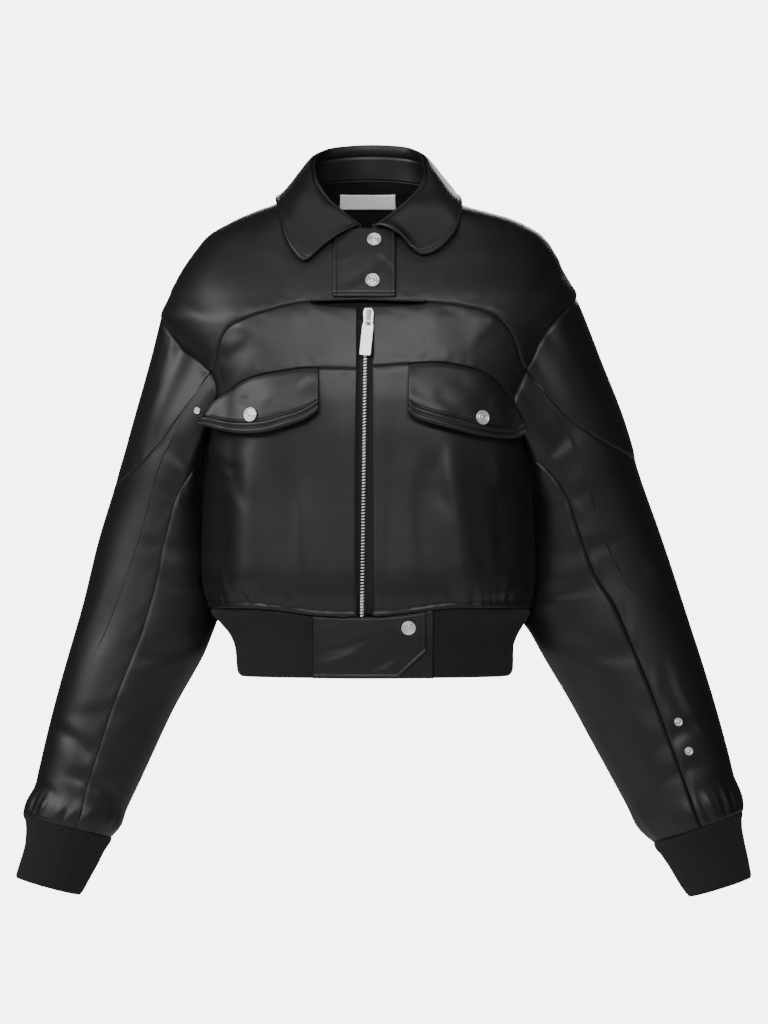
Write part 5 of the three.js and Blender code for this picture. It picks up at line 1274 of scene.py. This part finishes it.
def pocket_flap(name, side, satin):
    columns = 112
    high, low = spline(side["flap_top"], columns), spline(side["flap_low"], columns)
    down = np.linspace(0, 1, 64)[:, None]
    x = side["sign"] * mix(high[None, :, 0], low[None, :, 0], down)
    z = mix(high[None, :, 1], low[None, :, 1], down)
    lift = FLAP_LIFT.at("lift", down)
    _, lean = flap_base(x, z)
    seen_x = x
    x = seen_x - lean[..., 0] * (lift + FLAP["thick"])
    points, normals = flap_base(x, z)
    away = edge_distances(points)
    height = rounded([away["first"], away["last"]], 2.2, 1.1)
    for centre, half, rise in FLAP_CORDS:
        height = height + rise * np.sqrt(np.clip(1 - ((away["high"] - centre) / half) ** 2, 0, 1))
    height = height + groove(away["high"], 13.4, 0.6, 0.9) + groove(away["low"], 0, 0.9, 2.5)
    snap_x, snap_z = side["sign"] * side["snap"][0], side["snap"][1]
    pull = np.hypot(seen_x - snap_x, z - snap_z)
    height = height - 0.9 * np.exp(-(pull / 13) ** 2) + 0.6 * ripples(points, 34, 7) * smooth(0, 0.3, down)
    start, end = side["sign"] * side["flap_top"][0][0], side["sign"] * 150
    height = height + crease_height(seen_x, z, [
        ((mix(start, end, 0.25), -200), (snap_x - 14 * side["sign"], -226), 8, -0.5, 3),
        ((mix(start, end, 0.75), -208), (snap_x + 8 * side["sign"], -222), 7, -0.5, 2),
        ((mix(start, end, 0.02), -194), (mix(start, end, 0.22), -206), 8, -0.8, 3),
        ((mix(start, end, 0.05), -214), (mix(start, end, 0.5), -222), 9, 0.5, 3)])
    outer = points + normals * (lift + FLAP["thick"] + height)[..., None]
    inner = points + normals * lift[..., None]
    obj = shell(f"pocket_flap_cloth_{name}", outer, inner, satin)
    finish_piece(obj, GARMENT, "satin", f"pocket_flap_{name}")


# Collar


def collar_values(where):
    """Collar table read on a smooth curve through its rows."""
    tangent = np.gradient(COLLAR, axis=0)
    row = np.clip(np.floor(where).astype(int), 0, len(COLLAR) - 2)
    s = (where - row)[..., None]
    keep = (1 + 2 * s) * (1 - s) ** 2
    lean = s * (1 - s) * ((1 - s) * tangent[row] - s * tangent[row + 1])
    return keep * COLLAR[row] + (1 - keep) * COLLAR[row + 1] + lean


def fall_point(where, down):
    """Point of the turned-down collar, at a place in the table and part of the way down from its roll."""
    rows = collar_values(where)
    roll, edge = rows[..., 0:3], rows[..., 3:6]
    point = mix(roll, edge, down[..., None])
    outward = roll + edge
    outward[..., 2] = FALL["lean"]
    arch = np.sin(np.pi * down ** FALL["bulge_shape"])
    point = point + unit(outward) * (FALL["bulge"] * arch)[..., None]
    point[..., 2] += rows[..., 7] * 4 * down * (1 - down)
    return point


def round_corner(along, down, reach, rise):
    """Draws the square corner at along 0 and down 1 in to a round one."""
    u = np.clip(1 - along / reach, 0, 1)
    v = np.clip(1 - (1 - down) / rise, 0, 1)
    return (
        np.where(u * v > 0, reach * (1 - u * np.sqrt(1 - v * v / 2)), along),
        np.where(u * v > 0, 1 - rise * (1 - v * np.sqrt(1 - u * u / 2)), down),
    )


def grid_normals(points):
    return unit(np.cross(np.gradient(points, axis=0), np.gradient(points, axis=1)))


def collar(satin):
    last_row = len(COLLAR) - 1
    share = np.linspace(0, 1, 301)
    spread = last_row * (share - 0.035 * np.sin(4 * np.pi * share))
    where, down = np.meshgrid(spread, np.linspace(0, 1, 56))
    where, down = round_corner(where, down, *FALL["left_tip"])
    flipped, down = round_corner(last_row - where, down, *FALL["right_tip"])
    where = last_row - flipped
    fall = fall_point(where, down)
    normals = grid_normals(fall)
    middle = fall.shape[1] // 2
    if normals[20, middle, 1] < 0:
        normals = -normals
    away = edge_distances(fall)
    height = rounded([away["high"], away["first"], away["last"]], 2.2, 1.2)
    for key in ("high", "first", "last"):
        height = height + groove(away[key], 5.4, 0.6) + raised(away[key], 2.8, 0.7)
    height = height + 0.7 * ripples(fall, 46, 3) * smooth(4, 14, away["high"]) * smooth(0, 10, away["low"])
    height = height - 1.4 * np.clip(1 - away["low"] / 3.5, 0, 1) ** 2
    outer = fall + normals * height[..., None]
    inner = fall - normals * TAB_THICK
    obj = shell("collar_fall_cloth", outer, inner, satin)
    finish_piece(obj, GARMENT, "satin", "collar_fall")
    rows = collar_values(np.linspace(0, last_row, 261))
    roll = rows[:, 0:3]
    places = neck_place(np.radians(rows[:, 6]))
    low = body_point(places[:, 0], places[:, 1])
    low[:, 2] += STAND["lift"]
    to_centre = unit(-roll * np.array([1, 1, 0]))
    top = roll + to_centre * STAND["top_inset"]
    up = np.linspace(0, 1, 40)[:, None]
    stand = mix(low[None], top[None], up[..., None])
    inward = grid_normals(stand)
    if inward[8, 130, 1] > 0:
        inward = -inward
    roll_in = 0.9 * np.exp(-((up - 0.84) / 0.14) ** 2) - 1.0 * np.exp(-((up - 0.66) / 0.035) ** 2)
    relief = roll_in + 0.4 * ripples(stand, 40, 8)
    inner = stand + inward * (1.6 + relief)[..., None]
    obj = shell("collar_stand_cloth", stand, inner, satin)
    finish_piece(obj, GARMENT, "satin", "collar_stand")


# Small things that repeat along a path: teeth and stitches


def along_path_tree(name, shape, material):
    """A small shape set along each path at a named pitch."""
    tree, nodes, links, enter = new_tree(name, "Path", ("Pitch", "Scale"), "Pieces")
    points = nodes.new("GeometryNodeCurveToPoints")
    points.mode = "LENGTH"
    place = nodes.new("GeometryNodeInstanceOnPoints")
    info = nodes.new("GeometryNodeObjectInfo")
    info.inputs["Object"].default_value = shape
    to_curve = nodes.new("GeometryNodeMeshToCurve")
    links.new(enter.outputs["Path"], to_curve.inputs["Mesh"])
    links.new(to_curve.outputs["Curve"], points.inputs["Curve"])
    links.new(enter.outputs["Pitch"], points.inputs["Length"])
    links.new(points.outputs["Points"], place.inputs["Points"])
    links.new(info.outputs["Geometry"], place.inputs["Instance"])
    links.new(points.outputs["Rotation"], place.inputs["Rotation"])
    links.new(enter.outputs["Scale"], place.inputs["Scale"])
    end_tree(nodes, links, place.outputs["Instances"], material)
    return tree


def set_along(name, paths, shape, material, pitch):
    """Runs the tree over paths and keeps the result as a plain mesh."""
    mesh = bpy.data.meshes.new(name)
    points, edges = [], []
    for path in paths:
        start = len(points)
        points.extend([tuple(p * MM) for p in path])
        edges.extend([(start + k, start + k + 1) for k in range(len(path) - 1)])
    mesh.from_pydata(points, edges, [])
    obj = bpy.data.objects.new(name, mesh)
    bpy.context.scene.collection.objects.link(obj)
    tree = along_path_tree(name + "_along", shape, material)
    result = plain_result(obj, tree, Pitch=pitch * MM, Scale=1.0)
    if not len(result.materials):
        result.materials.append(material)
    for polygon in result.polygons:
        polygon.use_smooth = True
    return obj


def small_shape(name, build):
    """A mesh to repeat, kept off the scene."""
    mesh = bpy.data.meshes.new(name)
    work = bmesh.new()
    build(work)
    bmesh.ops.recalc_face_normals(work, faces=work.faces)
    work.to_mesh(mesh)
    work.free()
    return bpy.data.objects.new(name, mesh)


STITCH = {"radius": 0.32, "length": 2.1, "pitch": 2.9, "taper": 0.35}


def stitch_shape():
    radius, long = STITCH["radius"] * MM, STITCH["length"] * MM

    def build(work):
        bmesh.ops.create_cone(work, cap_ends=True, segments=6, radius1=radius, radius2=radius, depth=long)
        for vert in work.verts:
            narrow = 1 - STITCH["taper"] * (2 * vert.co.z / long) ** 2
            vert.co.x *= narrow
            vert.co.y *= narrow
    return small_shape("stitch_shape", build)


def stitch_line(table, surface, xs, zs, lift, back=False):
    angle = angle_at(table, xs, zs, back)
    return surface(angle, zs) + ring_normal(surface, angle, zs) * np.asarray(lift)[..., None]


def stitching(thread):
    paths = []
    tab = NECK_TAB
    left, right, low = tab["left"] + STITCH_IN, tab["right"] - STITCH_IN, tab["low"] + STITCH_IN
    rise = np.linspace(low, tab["high"], 40)
    lift = np.full(40, tab["lift"] + TAB_THICK - 0.2)
    for x in (left, right):
        paths.append(stitch_line(BODY, body_point, np.full(40, x), rise, lift))
    paths.append(stitch_line(BODY, body_point, np.linspace(left, right, 40), np.full(40, low), lift))
    for x in (-19, 17):
        down = np.linspace(-318, -424, 50)
        angle = angle_at(BODY, np.full(50, float(x)), down)
        paths.append(body_point(angle, down) + body_normal(angle, down) * 0.25)
    tab = HEM_TAB
    left, right, low = tab["left"] + STITCH_IN, tab["right"] - STITCH_IN, tab["low"] + STITCH_IN
    top_row, low_row = np.linspace(left, right, 60), np.linspace(left, tab["corner_x"] - 1, 60)
    top_z = hem_z(angle_at(BODY, top_row, HEM["z"])) - STITCH_IN - 0.3
    for across, z in ((top_row, top_z), (low_row, np.full(60, float(low)))):
        over = TAB_THICK * smooth(tab["overlap_from"], tab["overlap_to"], across)
        paths.append(stitch_line(BAND, band_point, across, z, over + TAB_THICK - 0.2))
    slope = np.linspace(0, 1, 24)
    corner = (mix(tab["corner_x"] - 1, right, slope), mix(low, tab["corner_z"] + 4.5, slope))
    paths.append(stitch_line(BAND, band_point, corner[0], corner[1], np.full(24, 4.0)))
    for side in SIDES.values():
        columns = 90
        high, low = spline(side["flap_top"], columns), spline(side["flap_low"], columns)
        down = FLAP["stitch_down"]
        x = side["sign"] * mix(high[:, 0], low[:, 0], down)
        z = mix(high[:, 1], low[:, 1], down)
        out = float(FLAP_LIFT.at("lift", down)) + FLAP["thick"]
        _, lean = flap_base(x, z)
        points, normals = flap_base(x - lean[:, 0] * out, z)
        paths.append((points + normals * (out - 0.1))[5:-5])
    obj = set_along("topstitching", paths, stitch_shape(), thread, STITCH["pitch"])
    finish_piece(obj, GARMENT, "satin")


def chain_x(z):
    return mix(ZIP["top_x"], ZIP["low_x"], (ZIP["chain_top_z"] - z) / (ZIP["chain_top_z"] - HEM["z"]))


TOOTH = {"wide": 4.1, "deep": 2.3, "tall": 1.05, "waist": 0.72, "aside": 1.25, "pitch": 3.1, "sunk": 1.7}


def tooth_shape(hand):
    def build(work):
        result = bmesh.ops.create_cube(work, size=1.0)
        for vert in result["verts"]:
            x, y, z = vert.co
            tall = TOOTH["tall"] * (TOOTH["waist"] if x * hand > 0 else 1)
            vert.co = Vector((y * TOOTH["deep"], x * TOOTH["wide"] - hand * TOOTH["aside"], z * tall)) * MM
        bmesh.ops.bevel(work, geom=list(work.edges), offset=0.16 * MM, segments=1, affect="EDGES")
    return small_shape("tooth_shape_" + ("a" if hand > 0 else "b"), build)


def zip_pieces(sizes, tape_cloth, metal):
    low_z = HEM["z"] - HEM["dip"] + 1
    depth = -sizes.cloth * 1000 - ZIP["tape_depth"] - ZIP["tape"]
    clear = ZIP["chain_half"] - 0.4
    zs = np.linspace(low_z, ZIP["top_z"], 120)
    for name, start, end in (
        ("left", lambda z: ZIP["left_tape_x"] + 0 * z, lambda z: chain_x(z) - clear),
        ("right", lambda z: chain_x(z) + clear, lambda z: ZIP["right_tape_x"] + 0 * z),
    ):
        share = np.linspace(0, 1, 15)[None]
        x = mix(start(zs)[:, None], end(zs)[:, None], share)
        z = np.broadcast_to(zs[:, None], x.shape)
        angle = angle_at(BODY, x, z)
        points, normals = body_point(angle, z), body_normal(angle, z)
        away = share if name == "right" else 1 - share
        cord = 0.75 * np.exp(-((away - 0.06) / 0.07) ** 2)
        outer = points + normals * (depth + ZIP["tape"] + cord)[..., None]
        inner = points + normals * depth
        obj = shell(f"zip_tape_cloth_{name}", outer, inner, tape_cloth)
        finish_piece(obj, GARMENT, "zip_tape", f"zip_tape_{name}")
    teeth = []
    pitch = TOOTH["pitch"]
    for hand in (1, -1):
        start = ZIP["chain_top_z"] + (0 if hand > 0 else -pitch / 2)
        z = np.arange(start, low_z, -0.5)
        x = chain_x(z) - hand * 0.5
        angle = angle_at(BODY, x, z)
        path = body_point(angle, z) - body_normal(angle, z) * TOOTH["sunk"]
        teeth.append(set_along(f"teeth_{hand}", [path], tooth_shape(hand), metal, pitch))
    obj = joined_objects("zip_teeth", teeth)
    finish_piece(obj, GARMENT, "bright_metal", "zip_chain")
    for node, body in (("zip_slider", GARMENT), ("zip_pull", PULL)):
        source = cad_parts[node]
        work = bmesh.new()
        work.from_mesh(source.data)
        bmesh.ops.remove_doubles(work, verts=work.verts, dist=0.00002)
        flat = [edge for edge in work.edges if len(edge.link_faces) == 2 and edge.calc_face_angle(0) < 0.02]
        bmesh.ops.dissolve_edges(work, edges=flat, use_verts=True)
        sharp = [edge for edge in work.edges if len(edge.link_faces) == 2 and edge.calc_face_angle(0) > 0.6]
        bmesh.ops.bevel(work, geom=sharp, offset=0.22 * MM, segments=2, affect="EDGES", clamp_overlap=True)
        mesh = bpy.data.meshes.new(node + "_metal")
        work.to_mesh(mesh)
        work.free()
        mesh.materials.append(metal)
        obj = bpy.data.objects.new(node + "_metal", mesh)
        bpy.context.scene.collection.objects.link(obj)
        finish_piece(obj, body, "bright_metal", node)


# Snaps and studs


SNAP_PROFILE = [
    (0, 0), (0.94, 0), (1, 0.2), (1, 0.5), (0.97, 0.76), (0.9, 0.88), (0.82, 0.84), (0.76, 0.6), (0.7, 0.55),
    (0.64, 0.7), (0.5, 0.8), (0.42, 0.74), (0.36, 0.58), (0.3, 0.62), (0.22, 0.76), (0, 0.82),
]
STUD_PROFILE = [
    (0, 0), (0.93, 0), (1, 0.3), (0.96, 0.7), (0.84, 0.88), (0.68, 0.8), (0.56, 0.6), (0.46, 0.62), (0.36, 0.8),
    (0, 0.86),
]


def flap_shift(name):
    """How far a pocket's snap stands to the side of the place where the front view shows it."""
    side = SIDES[name]
    x, z = np.array([side["sign"] * side["snap"][0]], float), np.array([side["snap"][1]], float)
    point, lean = flap_base(x, z)
    moved, _ = flap_base(x - lean[:, 0] * 10.5, z)
    return (moved - point)[0]


def snap_caps(metal):
    """Caps stand where their solids stand, but the pockets' are moved with their flaps."""
    caps = [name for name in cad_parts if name.startswith(("snap_", "stud_"))]
    segments = 48
    for node in sorted(caps):
        verts = np.array([v.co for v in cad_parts[node].data.vertices])
        centre = verts.mean(0)
        _, vectors = np.linalg.eigh(np.cov((verts - centre).T))
        axis = vectors[:, 0]
        if axis[1] > 0:
            axis = -axis
        along = (verts - centre) @ axis
        radial = length(verts - centre - along[:, None] * axis)
        radius, height = radial.max(), along.max() - along.min()
        foot = centre + axis * along.min()
        ring = verts[radial > 0.9 * radius]
        middle = 0.5 * (ring.max(0) + ring.min(0))
        foot = foot + (middle - foot) - ((middle - foot) @ axis) * axis
        if node.startswith("snap_pocket"):
            foot = foot + flap_shift(node.rsplit("_", 1)[1]) * MM
        profile = spline(STUD_PROFILE if node.startswith("stud_") else SNAP_PROFILE, 60)[1:-1]
        side = unit(np.cross(axis, [0, 0, 1]))
        over = np.cross(axis, side)
        turn = np.linspace(0, 2 * np.pi, segments, endpoint=False)
        circle = np.cos(turn)[:, None] * side + np.sin(turn)[:, None] * over
        points = foot + profile[:, None, :1] * radius * circle[None] + profile[:, None, 1:] * height * axis
        points = points.reshape(-1, 3)
        points = np.vstack([points, foot, foot + axis * height * 0.95])
        faces = [list(face) for face in grid_faces(len(profile), segments, 0, True)]
        top = (len(profile) - 1) * segments
        faces += [[len(points) - 2, (k + 1) % segments, k] for k in range(segments)]
        faces += [[len(points) - 1, top + k, top + (k + 1) % segments] for k in range(segments)]
        obj = mesh_object(node + "_metal", points / MM, faces, metal)
        orient(obj)
        finish_piece(obj, GARMENT, "bright_metal", node)


# Finishes


def node_material(name):
    material = bpy.data.materials.new(name)
    material.use_nodes = True
    tree = material.node_tree
    return material, tree.nodes, tree.links, tree.nodes["Principled BSDF"]


def add_node(nodes, kind, **values):
    """A shader node, with its inputs set by name: an underscore stands for a space."""
    node = nodes.new("ShaderNode" + kind)
    for name, value in values.items():
        node.inputs[name.replace("_", " ")].default_value = value
    return node


def set_shader(shader, **values):
    for name, value in values.items():
        shader.inputs[name.replace("_", " ")].default_value = value


def satin_material(colours, name="black_satin", shine=0.42):
    """Satin: gloss and swell vary slowly, under a fine weave that is longer up and down."""
    material, nodes, links, shader = node_material(name)
    set_shader(
        shader, Base_Color=(*colours.satin, 1), Specular_IOR_Level=shine,
        Sheen_Weight=0.03, Sheen_Roughness=0.35, Sheen_Tint=(0.55, 0.56, 0.58, 1))
    place = add_node(nodes, "TexCoord")
    slow = add_node(nodes, "TexNoise", Scale=14, Detail=4)
    rough = add_node(nodes, "MapRange", To_Min=0.41, To_Max=0.49)
    squeeze = add_node(nodes, "Mapping", Scale=(900, 900, 180))
    threads = add_node(nodes, "TexNoise", Scale=3.2, Detail=2)
    weave = add_node(nodes, "Bump", Strength=0.12, Distance=0.0002)
    soft = add_node(nodes, "Bump", Strength=0.18, Distance=0.004)
    links.new(place.outputs["Object"], slow.inputs["Vector"])
    links.new(slow.outputs["Fac"], rough.inputs["Value"])
    links.new(rough.outputs["Result"], shader.inputs["Roughness"])
    links.new(place.outputs["Object"], squeeze.inputs["Vector"])
    links.new(squeeze.outputs["Vector"], threads.inputs["Vector"])
    links.new(threads.outputs["Fac"], weave.inputs["Height"])
    links.new(slow.outputs["Fac"], soft.inputs["Height"])
    links.new(soft.outputs["Normal"], weave.inputs["Normal"])
    links.new(weave.outputs["Normal"], shader.inputs["Normal"])
    return material


def rib_material(colours):
    """Dull knit with a fine, uneven surface."""
    material, nodes, links, shader = node_material("black_rib_knit")
    set_shader(
        shader, Base_Color=(*colours.rib, 1), Roughness=0.9, Specular_IOR_Level=0.25, Sheen_Weight=0.06,
        Sheen_Roughness=0.5)
    place = add_node(nodes, "TexCoord")
    knit = add_node(nodes, "TexNoise", Scale=900, Detail=3)
    bump = add_node(nodes, "Bump", Strength=0.35, Distance=0.0006)
    links.new(place.outputs["Object"], knit.inputs["Vector"])
    links.new(knit.outputs["Fac"], bump.inputs["Height"])
    links.new(bump.outputs["Normal"], shader.inputs["Normal"])
    return material


def surface_material(name, colour, roughness, grain, deep, metallic=0.0, specular=0.5, stretch=(1, 1, 1)):
    """Finish with a grain: grain is its count in a metre, deep its height in metres."""
    material, nodes, links, shader = node_material(name)
    set_shader(shader, Metallic=metallic, Specular_IOR_Level=specular)
    place = add_node(nodes, "TexCoord")
    squeeze = add_node(nodes, "Mapping", Scale=stretch)
    noise = add_node(nodes, "TexNoise", Scale=grain, Detail=3)
    gloss = add_node(nodes, "MapRange", To_Min=roughness - GLOSS_SPREAD, To_Max=roughness + GLOSS_SPREAD)
    tint = nodes.new("ShaderNodeMapRange")
    tint.data_type = "FLOAT_VECTOR"
    vector = {socket.name: socket for socket in tint.inputs if socket.type == "VECTOR"}
    vector["To Min"].default_value = [0.93 * part for part in colour]
    vector["To Max"].default_value = [min(1, 1.06 * part) for part in colour]
    bump = add_node(nodes, "Bump", Strength=0.5, Distance=deep)
    links.new(place.outputs["Object"], squeeze.inputs["Vector"])
    links.new(squeeze.outputs["Vector"], noise.inputs["Vector"])
    links.new(noise.outputs["Fac"], gloss.inputs["Value"])
    links.new(gloss.outputs["Result"], shader.inputs["Roughness"])
    links.new(noise.outputs["Fac"], vector["Vector"])
    links.new(tint.outputs["Vector"], shader.inputs["Base Color"])
    links.new(noise.outputs["Fac"], bump.inputs["Height"])
    links.new(bump.outputs["Normal"], shader.inputs["Normal"])
    return material


GLOSS_SPREAD = 0.06


# Settings that a user would change


class JacketSizes(bpy.types.PropertyGroup):
    cloth: FloatProperty(
        name="Cloth thickness", description="Thickness of the satin with its backing",
        default=0.0016, min=0.001, max=0.003, unit="LENGTH")
    seam_puff: FloatProperty(
        name="Seam puff", description="How far the cloth falls away at a seam, in millimetres",
        default=0.35, min=0, max=3)
    cuff_ribs: IntProperty(
        name="Cuff ribs", description="Knitted ribs round a cuff", default=68, min=10, max=120)
    hem_ribs: IntProperty(
        name="Hem ribs", description="Knitted ribs round the hem", default=256, min=40, max=400)


def colour_setting(name, description, default):
    return FloatVectorProperty(
        name=name, description=description, subtype="COLOR", size=3, default=default, min=0, max=1)


class JacketColours(bpy.types.PropertyGroup):
    satin: colour_setting("Satin", "Colour of the satin", (0.005, 0.005, 0.0054))
    rib: colour_setting("Rib", "Colour of the knitted rib", (0.0085, 0.0085, 0.0088))
    thread: colour_setting("Thread", "Colour of the sewing thread", (0.02, 0.02, 0.021))
    label: colour_setting("Label", "Colour of the blank neck label", (0.94, 0.94, 0.93))
    metal: colour_setting("Metal", "Colour of zip, snaps and studs", (0.64, 0.64, 0.65))


def settings():
    scene = bpy.context.scene
    return scene.jacket_sizes, scene.jacket_colours


def made(name, build):
    """A finish is made once and then shared."""
    return bpy.data.materials.get(name) or build()


def satin():
    return made("black_satin", lambda: satin_material(settings()[1]))


def rib():
    return made("black_rib_knit", lambda: rib_material(settings()[1]))


def satin_inside():
    """Satin in the shade behind the slit, with its shine cut down to paint that shade."""
    return made("satin_inside", lambda: satin_material(settings()[1], "satin_inside", 0.08))


def metal():
    colour = settings()[1].metal
    return made("polished_nickel", lambda: surface_material("polished_nickel", colour, 0.34, 900, 0.00003, 0.7))


# Operators, one for each group of pieces


class JACKET_OT_body(bpy.types.Operator):
    """Front yokes, chest panels, lower fronts and the back"""

    bl_idname = "jacket.body"
    bl_label = "Body panels"

    def execute(self, context):
        sizes, _ = settings()
        for name, side in SIDES.items():
            front_panels(name, side, sizes, satin())
        back_panel(sizes, satin())
        return {"FINISHED"}


class JACKET_OT_sleeves(bpy.types.Operator):
    """Sleeve caps, upper and under sleeves"""

    bl_idname = "jacket.sleeves"
    bl_label = "Sleeves"

    def execute(self, context):
        sizes, _ = settings()
        for name, side in SIDES.items():
            sleeve_panels(name, side, sizes, satin())
        return {"FINISHED"}


class JACKET_OT_ribs(bpy.types.Operator):
    """Knitted cuffs and hem band"""

    bl_idname = "jacket.ribs"
    bl_label = "Ribs"

    def execute(self, context):
        sizes, _ = settings()
        for name, side in SIDES.items():
            cuff(name, side, sizes, rib())
        hem_band(sizes, rib())
        return {"FINISHED"}


class JACKET_OT_collar(bpy.types.Operator):
    """Collar stand and turned-down fall"""

    bl_idname = "jacket.collar"
    bl_label = "Collar"

    def execute(self, context):
        collar(satin())
        return {"FINISHED"}


class JACKET_OT_tabs(bpy.types.Operator):
    """Neck tab, slit underlay and piping, hem tab and underlap"""

    bl_idname = "jacket.tabs"
    bl_label = "Tabs"

    def execute(self, context):
        sizes, _ = settings()
        neck_tab(satin())
        # The slit underlay gets satin with its shine cut down, a painted shade.
        slit_pieces(sizes, satin(), satin_inside())
        hem_tab(satin())
        return {"FINISHED"}


class JACKET_OT_flaps(bpy.types.Operator):
    """Pocket flaps with corded edges"""

    bl_idname = "jacket.flaps"
    bl_label = "Pocket flaps"

    def execute(self, context):
        for name, side in SIDES.items():
            pocket_flap(name, side, satin())
        return {"FINISHED"}


class JACKET_OT_label(bpy.types.Operator):
    """Blank label inside the back of the neck"""

    bl_idname = "jacket.label"
    bl_label = "Label"

    def execute(self, context):
        sizes, colours = settings()
        label(sizes, surface_material("label_cloth", colours.label, 0.8, 900, 0.0002, 0, 0.3, (1, 1, 3)))
        return {"FINISHED"}


class JACKET_OT_zip(bpy.types.Operator):
    """Zip tapes, teeth, slider and pull tab"""

    bl_idname = "jacket.zip"
    bl_label = "Zip"

    def execute(self, context):
        sizes, colours = settings()
        tape_cloth = surface_material("zip_tape_cloth", colours.rib, 0.8, 700, 0.0004, 0, 0.3, (1, 1, 2.5))
        zip_pieces(sizes, tape_cloth, metal())
        return {"FINISHED"}


class JACKET_OT_fasteners(bpy.types.Operator):
    """Snap caps and studs"""

    bl_idname = "jacket.fasteners"
    bl_label = "Snaps and studs"

    def execute(self, context):
        snap_caps(metal())
        return {"FINISHED"}


class JACKET_OT_stitching(bpy.types.Operator):
    """Topstitching on tabs, flaps and front"""

    bl_idname = "jacket.stitching"
    bl_label = "Topstitching"

    def execute(self, context):
        thread = settings()[1].thread
        stitching(surface_material("black_thread", thread, 0.55, 2600, 0.0001, 0, 0.5, (1, 1, 2)))
        return {"FINISHED"}


CAMERA_PLACE = (0.0168, -6.0, -0.3276)
CAMERA_LENS = 201
FLOOR_HALF, FLOOR_Z = 2600, -1350.0
AIR_SEEN, AIR_LIGHT = 6.0, 0.05  # strength of the air to the camera and as a light
LIGHTS = (
    # name, place, target, width, height, power
    ("front_softbox", (0.12, -3.1, 1.14), (0, -0.1, -0.2), 2.6, 0.45, 84),
    ("top_softbox", (0.0, -0.5, 2.1), (0, -0.05, -0.1), 1.5, 0.9, 8),
    ("left_softbox", (-2.1, -1.4, 0.9), (-0.25, 0, -0.2), 1.3, 0.8, 48),
    ("left_strip", (-2.3, -1.9, -0.1), (-0.1, 0, -0.35), 0.35, 1.5, 3),
    ("right_strip", (2.4, -1.7, 0.0), (0.1, 0, -0.35), 0.35, 1.5, 2),
    ("back_softbox", (0.4, 3.0, 1.2), (0, 0, -0.2), 2.0, 0.6, 40),
)


def area_light(name, place, target, width, tall, power):
    data = bpy.data.lights.new(name, "AREA")
    data.shape = "RECTANGLE"
    data.size, data.size_y = width, tall
    data.energy = power
    light = bpy.data.objects.new(name, data)
    light.location = place
    light.rotation_euler = (Vector(target) - Vector(place)).to_track_quat("-Z", "Y").to_euler()
    bpy.context.scene.collection.objects.link(light)
    return light


class JACKET_OT_stage(bpy.types.Operator):
    """Camera, pale floor and air, soft studio light"""

    bl_idname = "jacket.stage"
    bl_label = "Stage"

    def execute(self, context):
        scene = context.scene
        data = bpy.data.cameras.new("photo_view")
        data.sensor_fit = "VERTICAL"
        data.sensor_height = 36
        data.lens = CAMERA_LENS
        data.clip_end = 60
        camera = bpy.data.objects.new("photo_view", data)
        camera.location = CAMERA_PLACE
        camera.rotation_euler = (math.radians(90), 0, 0)
        scene.collection.objects.link(camera)
        scene.camera = camera
        pale = surface_material("pale_floor", (0.9, 0.9, 0.9), 0.9, 40, 0.0001, 0, 0.1)
        points = [(x * FLOOR_HALF, y * FLOOR_HALF, FLOOR_Z) for x, y in ((-1, -1), (1, -1), (1, 1), (-1, 1))]
        floor = mesh_object("pale_floor", points, [[0, 1, 2, 3]], pale)
        world = bpy.data.worlds.new("studio_air")
        world.use_nodes = True
        nodes, links = world.node_tree.nodes, world.node_tree.links
        nodes["Background"].inputs["Color"].default_value = (1, 1, 1, 1)
        ray = nodes.new("ShaderNodeLightPath")
        seen = nodes.new("ShaderNodeMapRange")
        seen.inputs["To Min"].default_value = AIR_LIGHT
        seen.inputs["To Max"].default_value = AIR_SEEN
        links.new(ray.outputs["Is Camera Ray"], seen.inputs["Value"])
        links.new(seen.outputs["Result"], nodes["Background"].inputs["Strength"])
        scene.world = world
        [area_light(*light) for light in LIGHTS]
        return {"FINISHED"}


class JACKET_PT_panel(bpy.types.Panel):
    """Lists the steps that build the jacket"""

    bl_idname = "JACKET_PT_panel"
    bl_label = "Satin bomber jacket"
    bl_space_type = "VIEW_3D"
    bl_region_type = "UI"
    bl_category = "Jacket"

    def draw(self, context):
        sizes, colours = settings()
        for group in (sizes, colours):
            for key in group.bl_rna.properties.keys():
                if key not in ("rna_type", "name"):
                    self.layout.prop(group, key)
        for step in STEPS_IN_ORDER:
            self.layout.operator(step.bl_idname)


STEPS_IN_ORDER = (
    JACKET_OT_stage, JACKET_OT_body, JACKET_OT_sleeves, JACKET_OT_ribs, JACKET_OT_collar, JACKET_OT_tabs,
    JACKET_OT_flaps, JACKET_OT_label, JACKET_OT_zip, JACKET_OT_fasteners, JACKET_OT_stitching,
)
CLASSES = (JacketSizes, JacketColours, *STEPS_IN_ORDER, JACKET_PT_panel)


def register():
    for item in CLASSES:
        bpy.utils.register_class(item)
    bpy.types.Scene.jacket_sizes = PointerProperty(type=JacketSizes)
    bpy.types.Scene.jacket_colours = PointerProperty(type=JacketColours)


def unregister():
    del bpy.types.Scene.jacket_colours
    del bpy.types.Scene.jacket_sizes
    for item in reversed(CLASSES):
        bpy.utils.unregister_class(item)


def main():
    register()
    for step in STEPS_IN_ORDER:
        group, name = step.bl_idname.split(".")
        getattr(getattr(bpy.ops, group), name)()


if __name__ == "__main__":
    main()
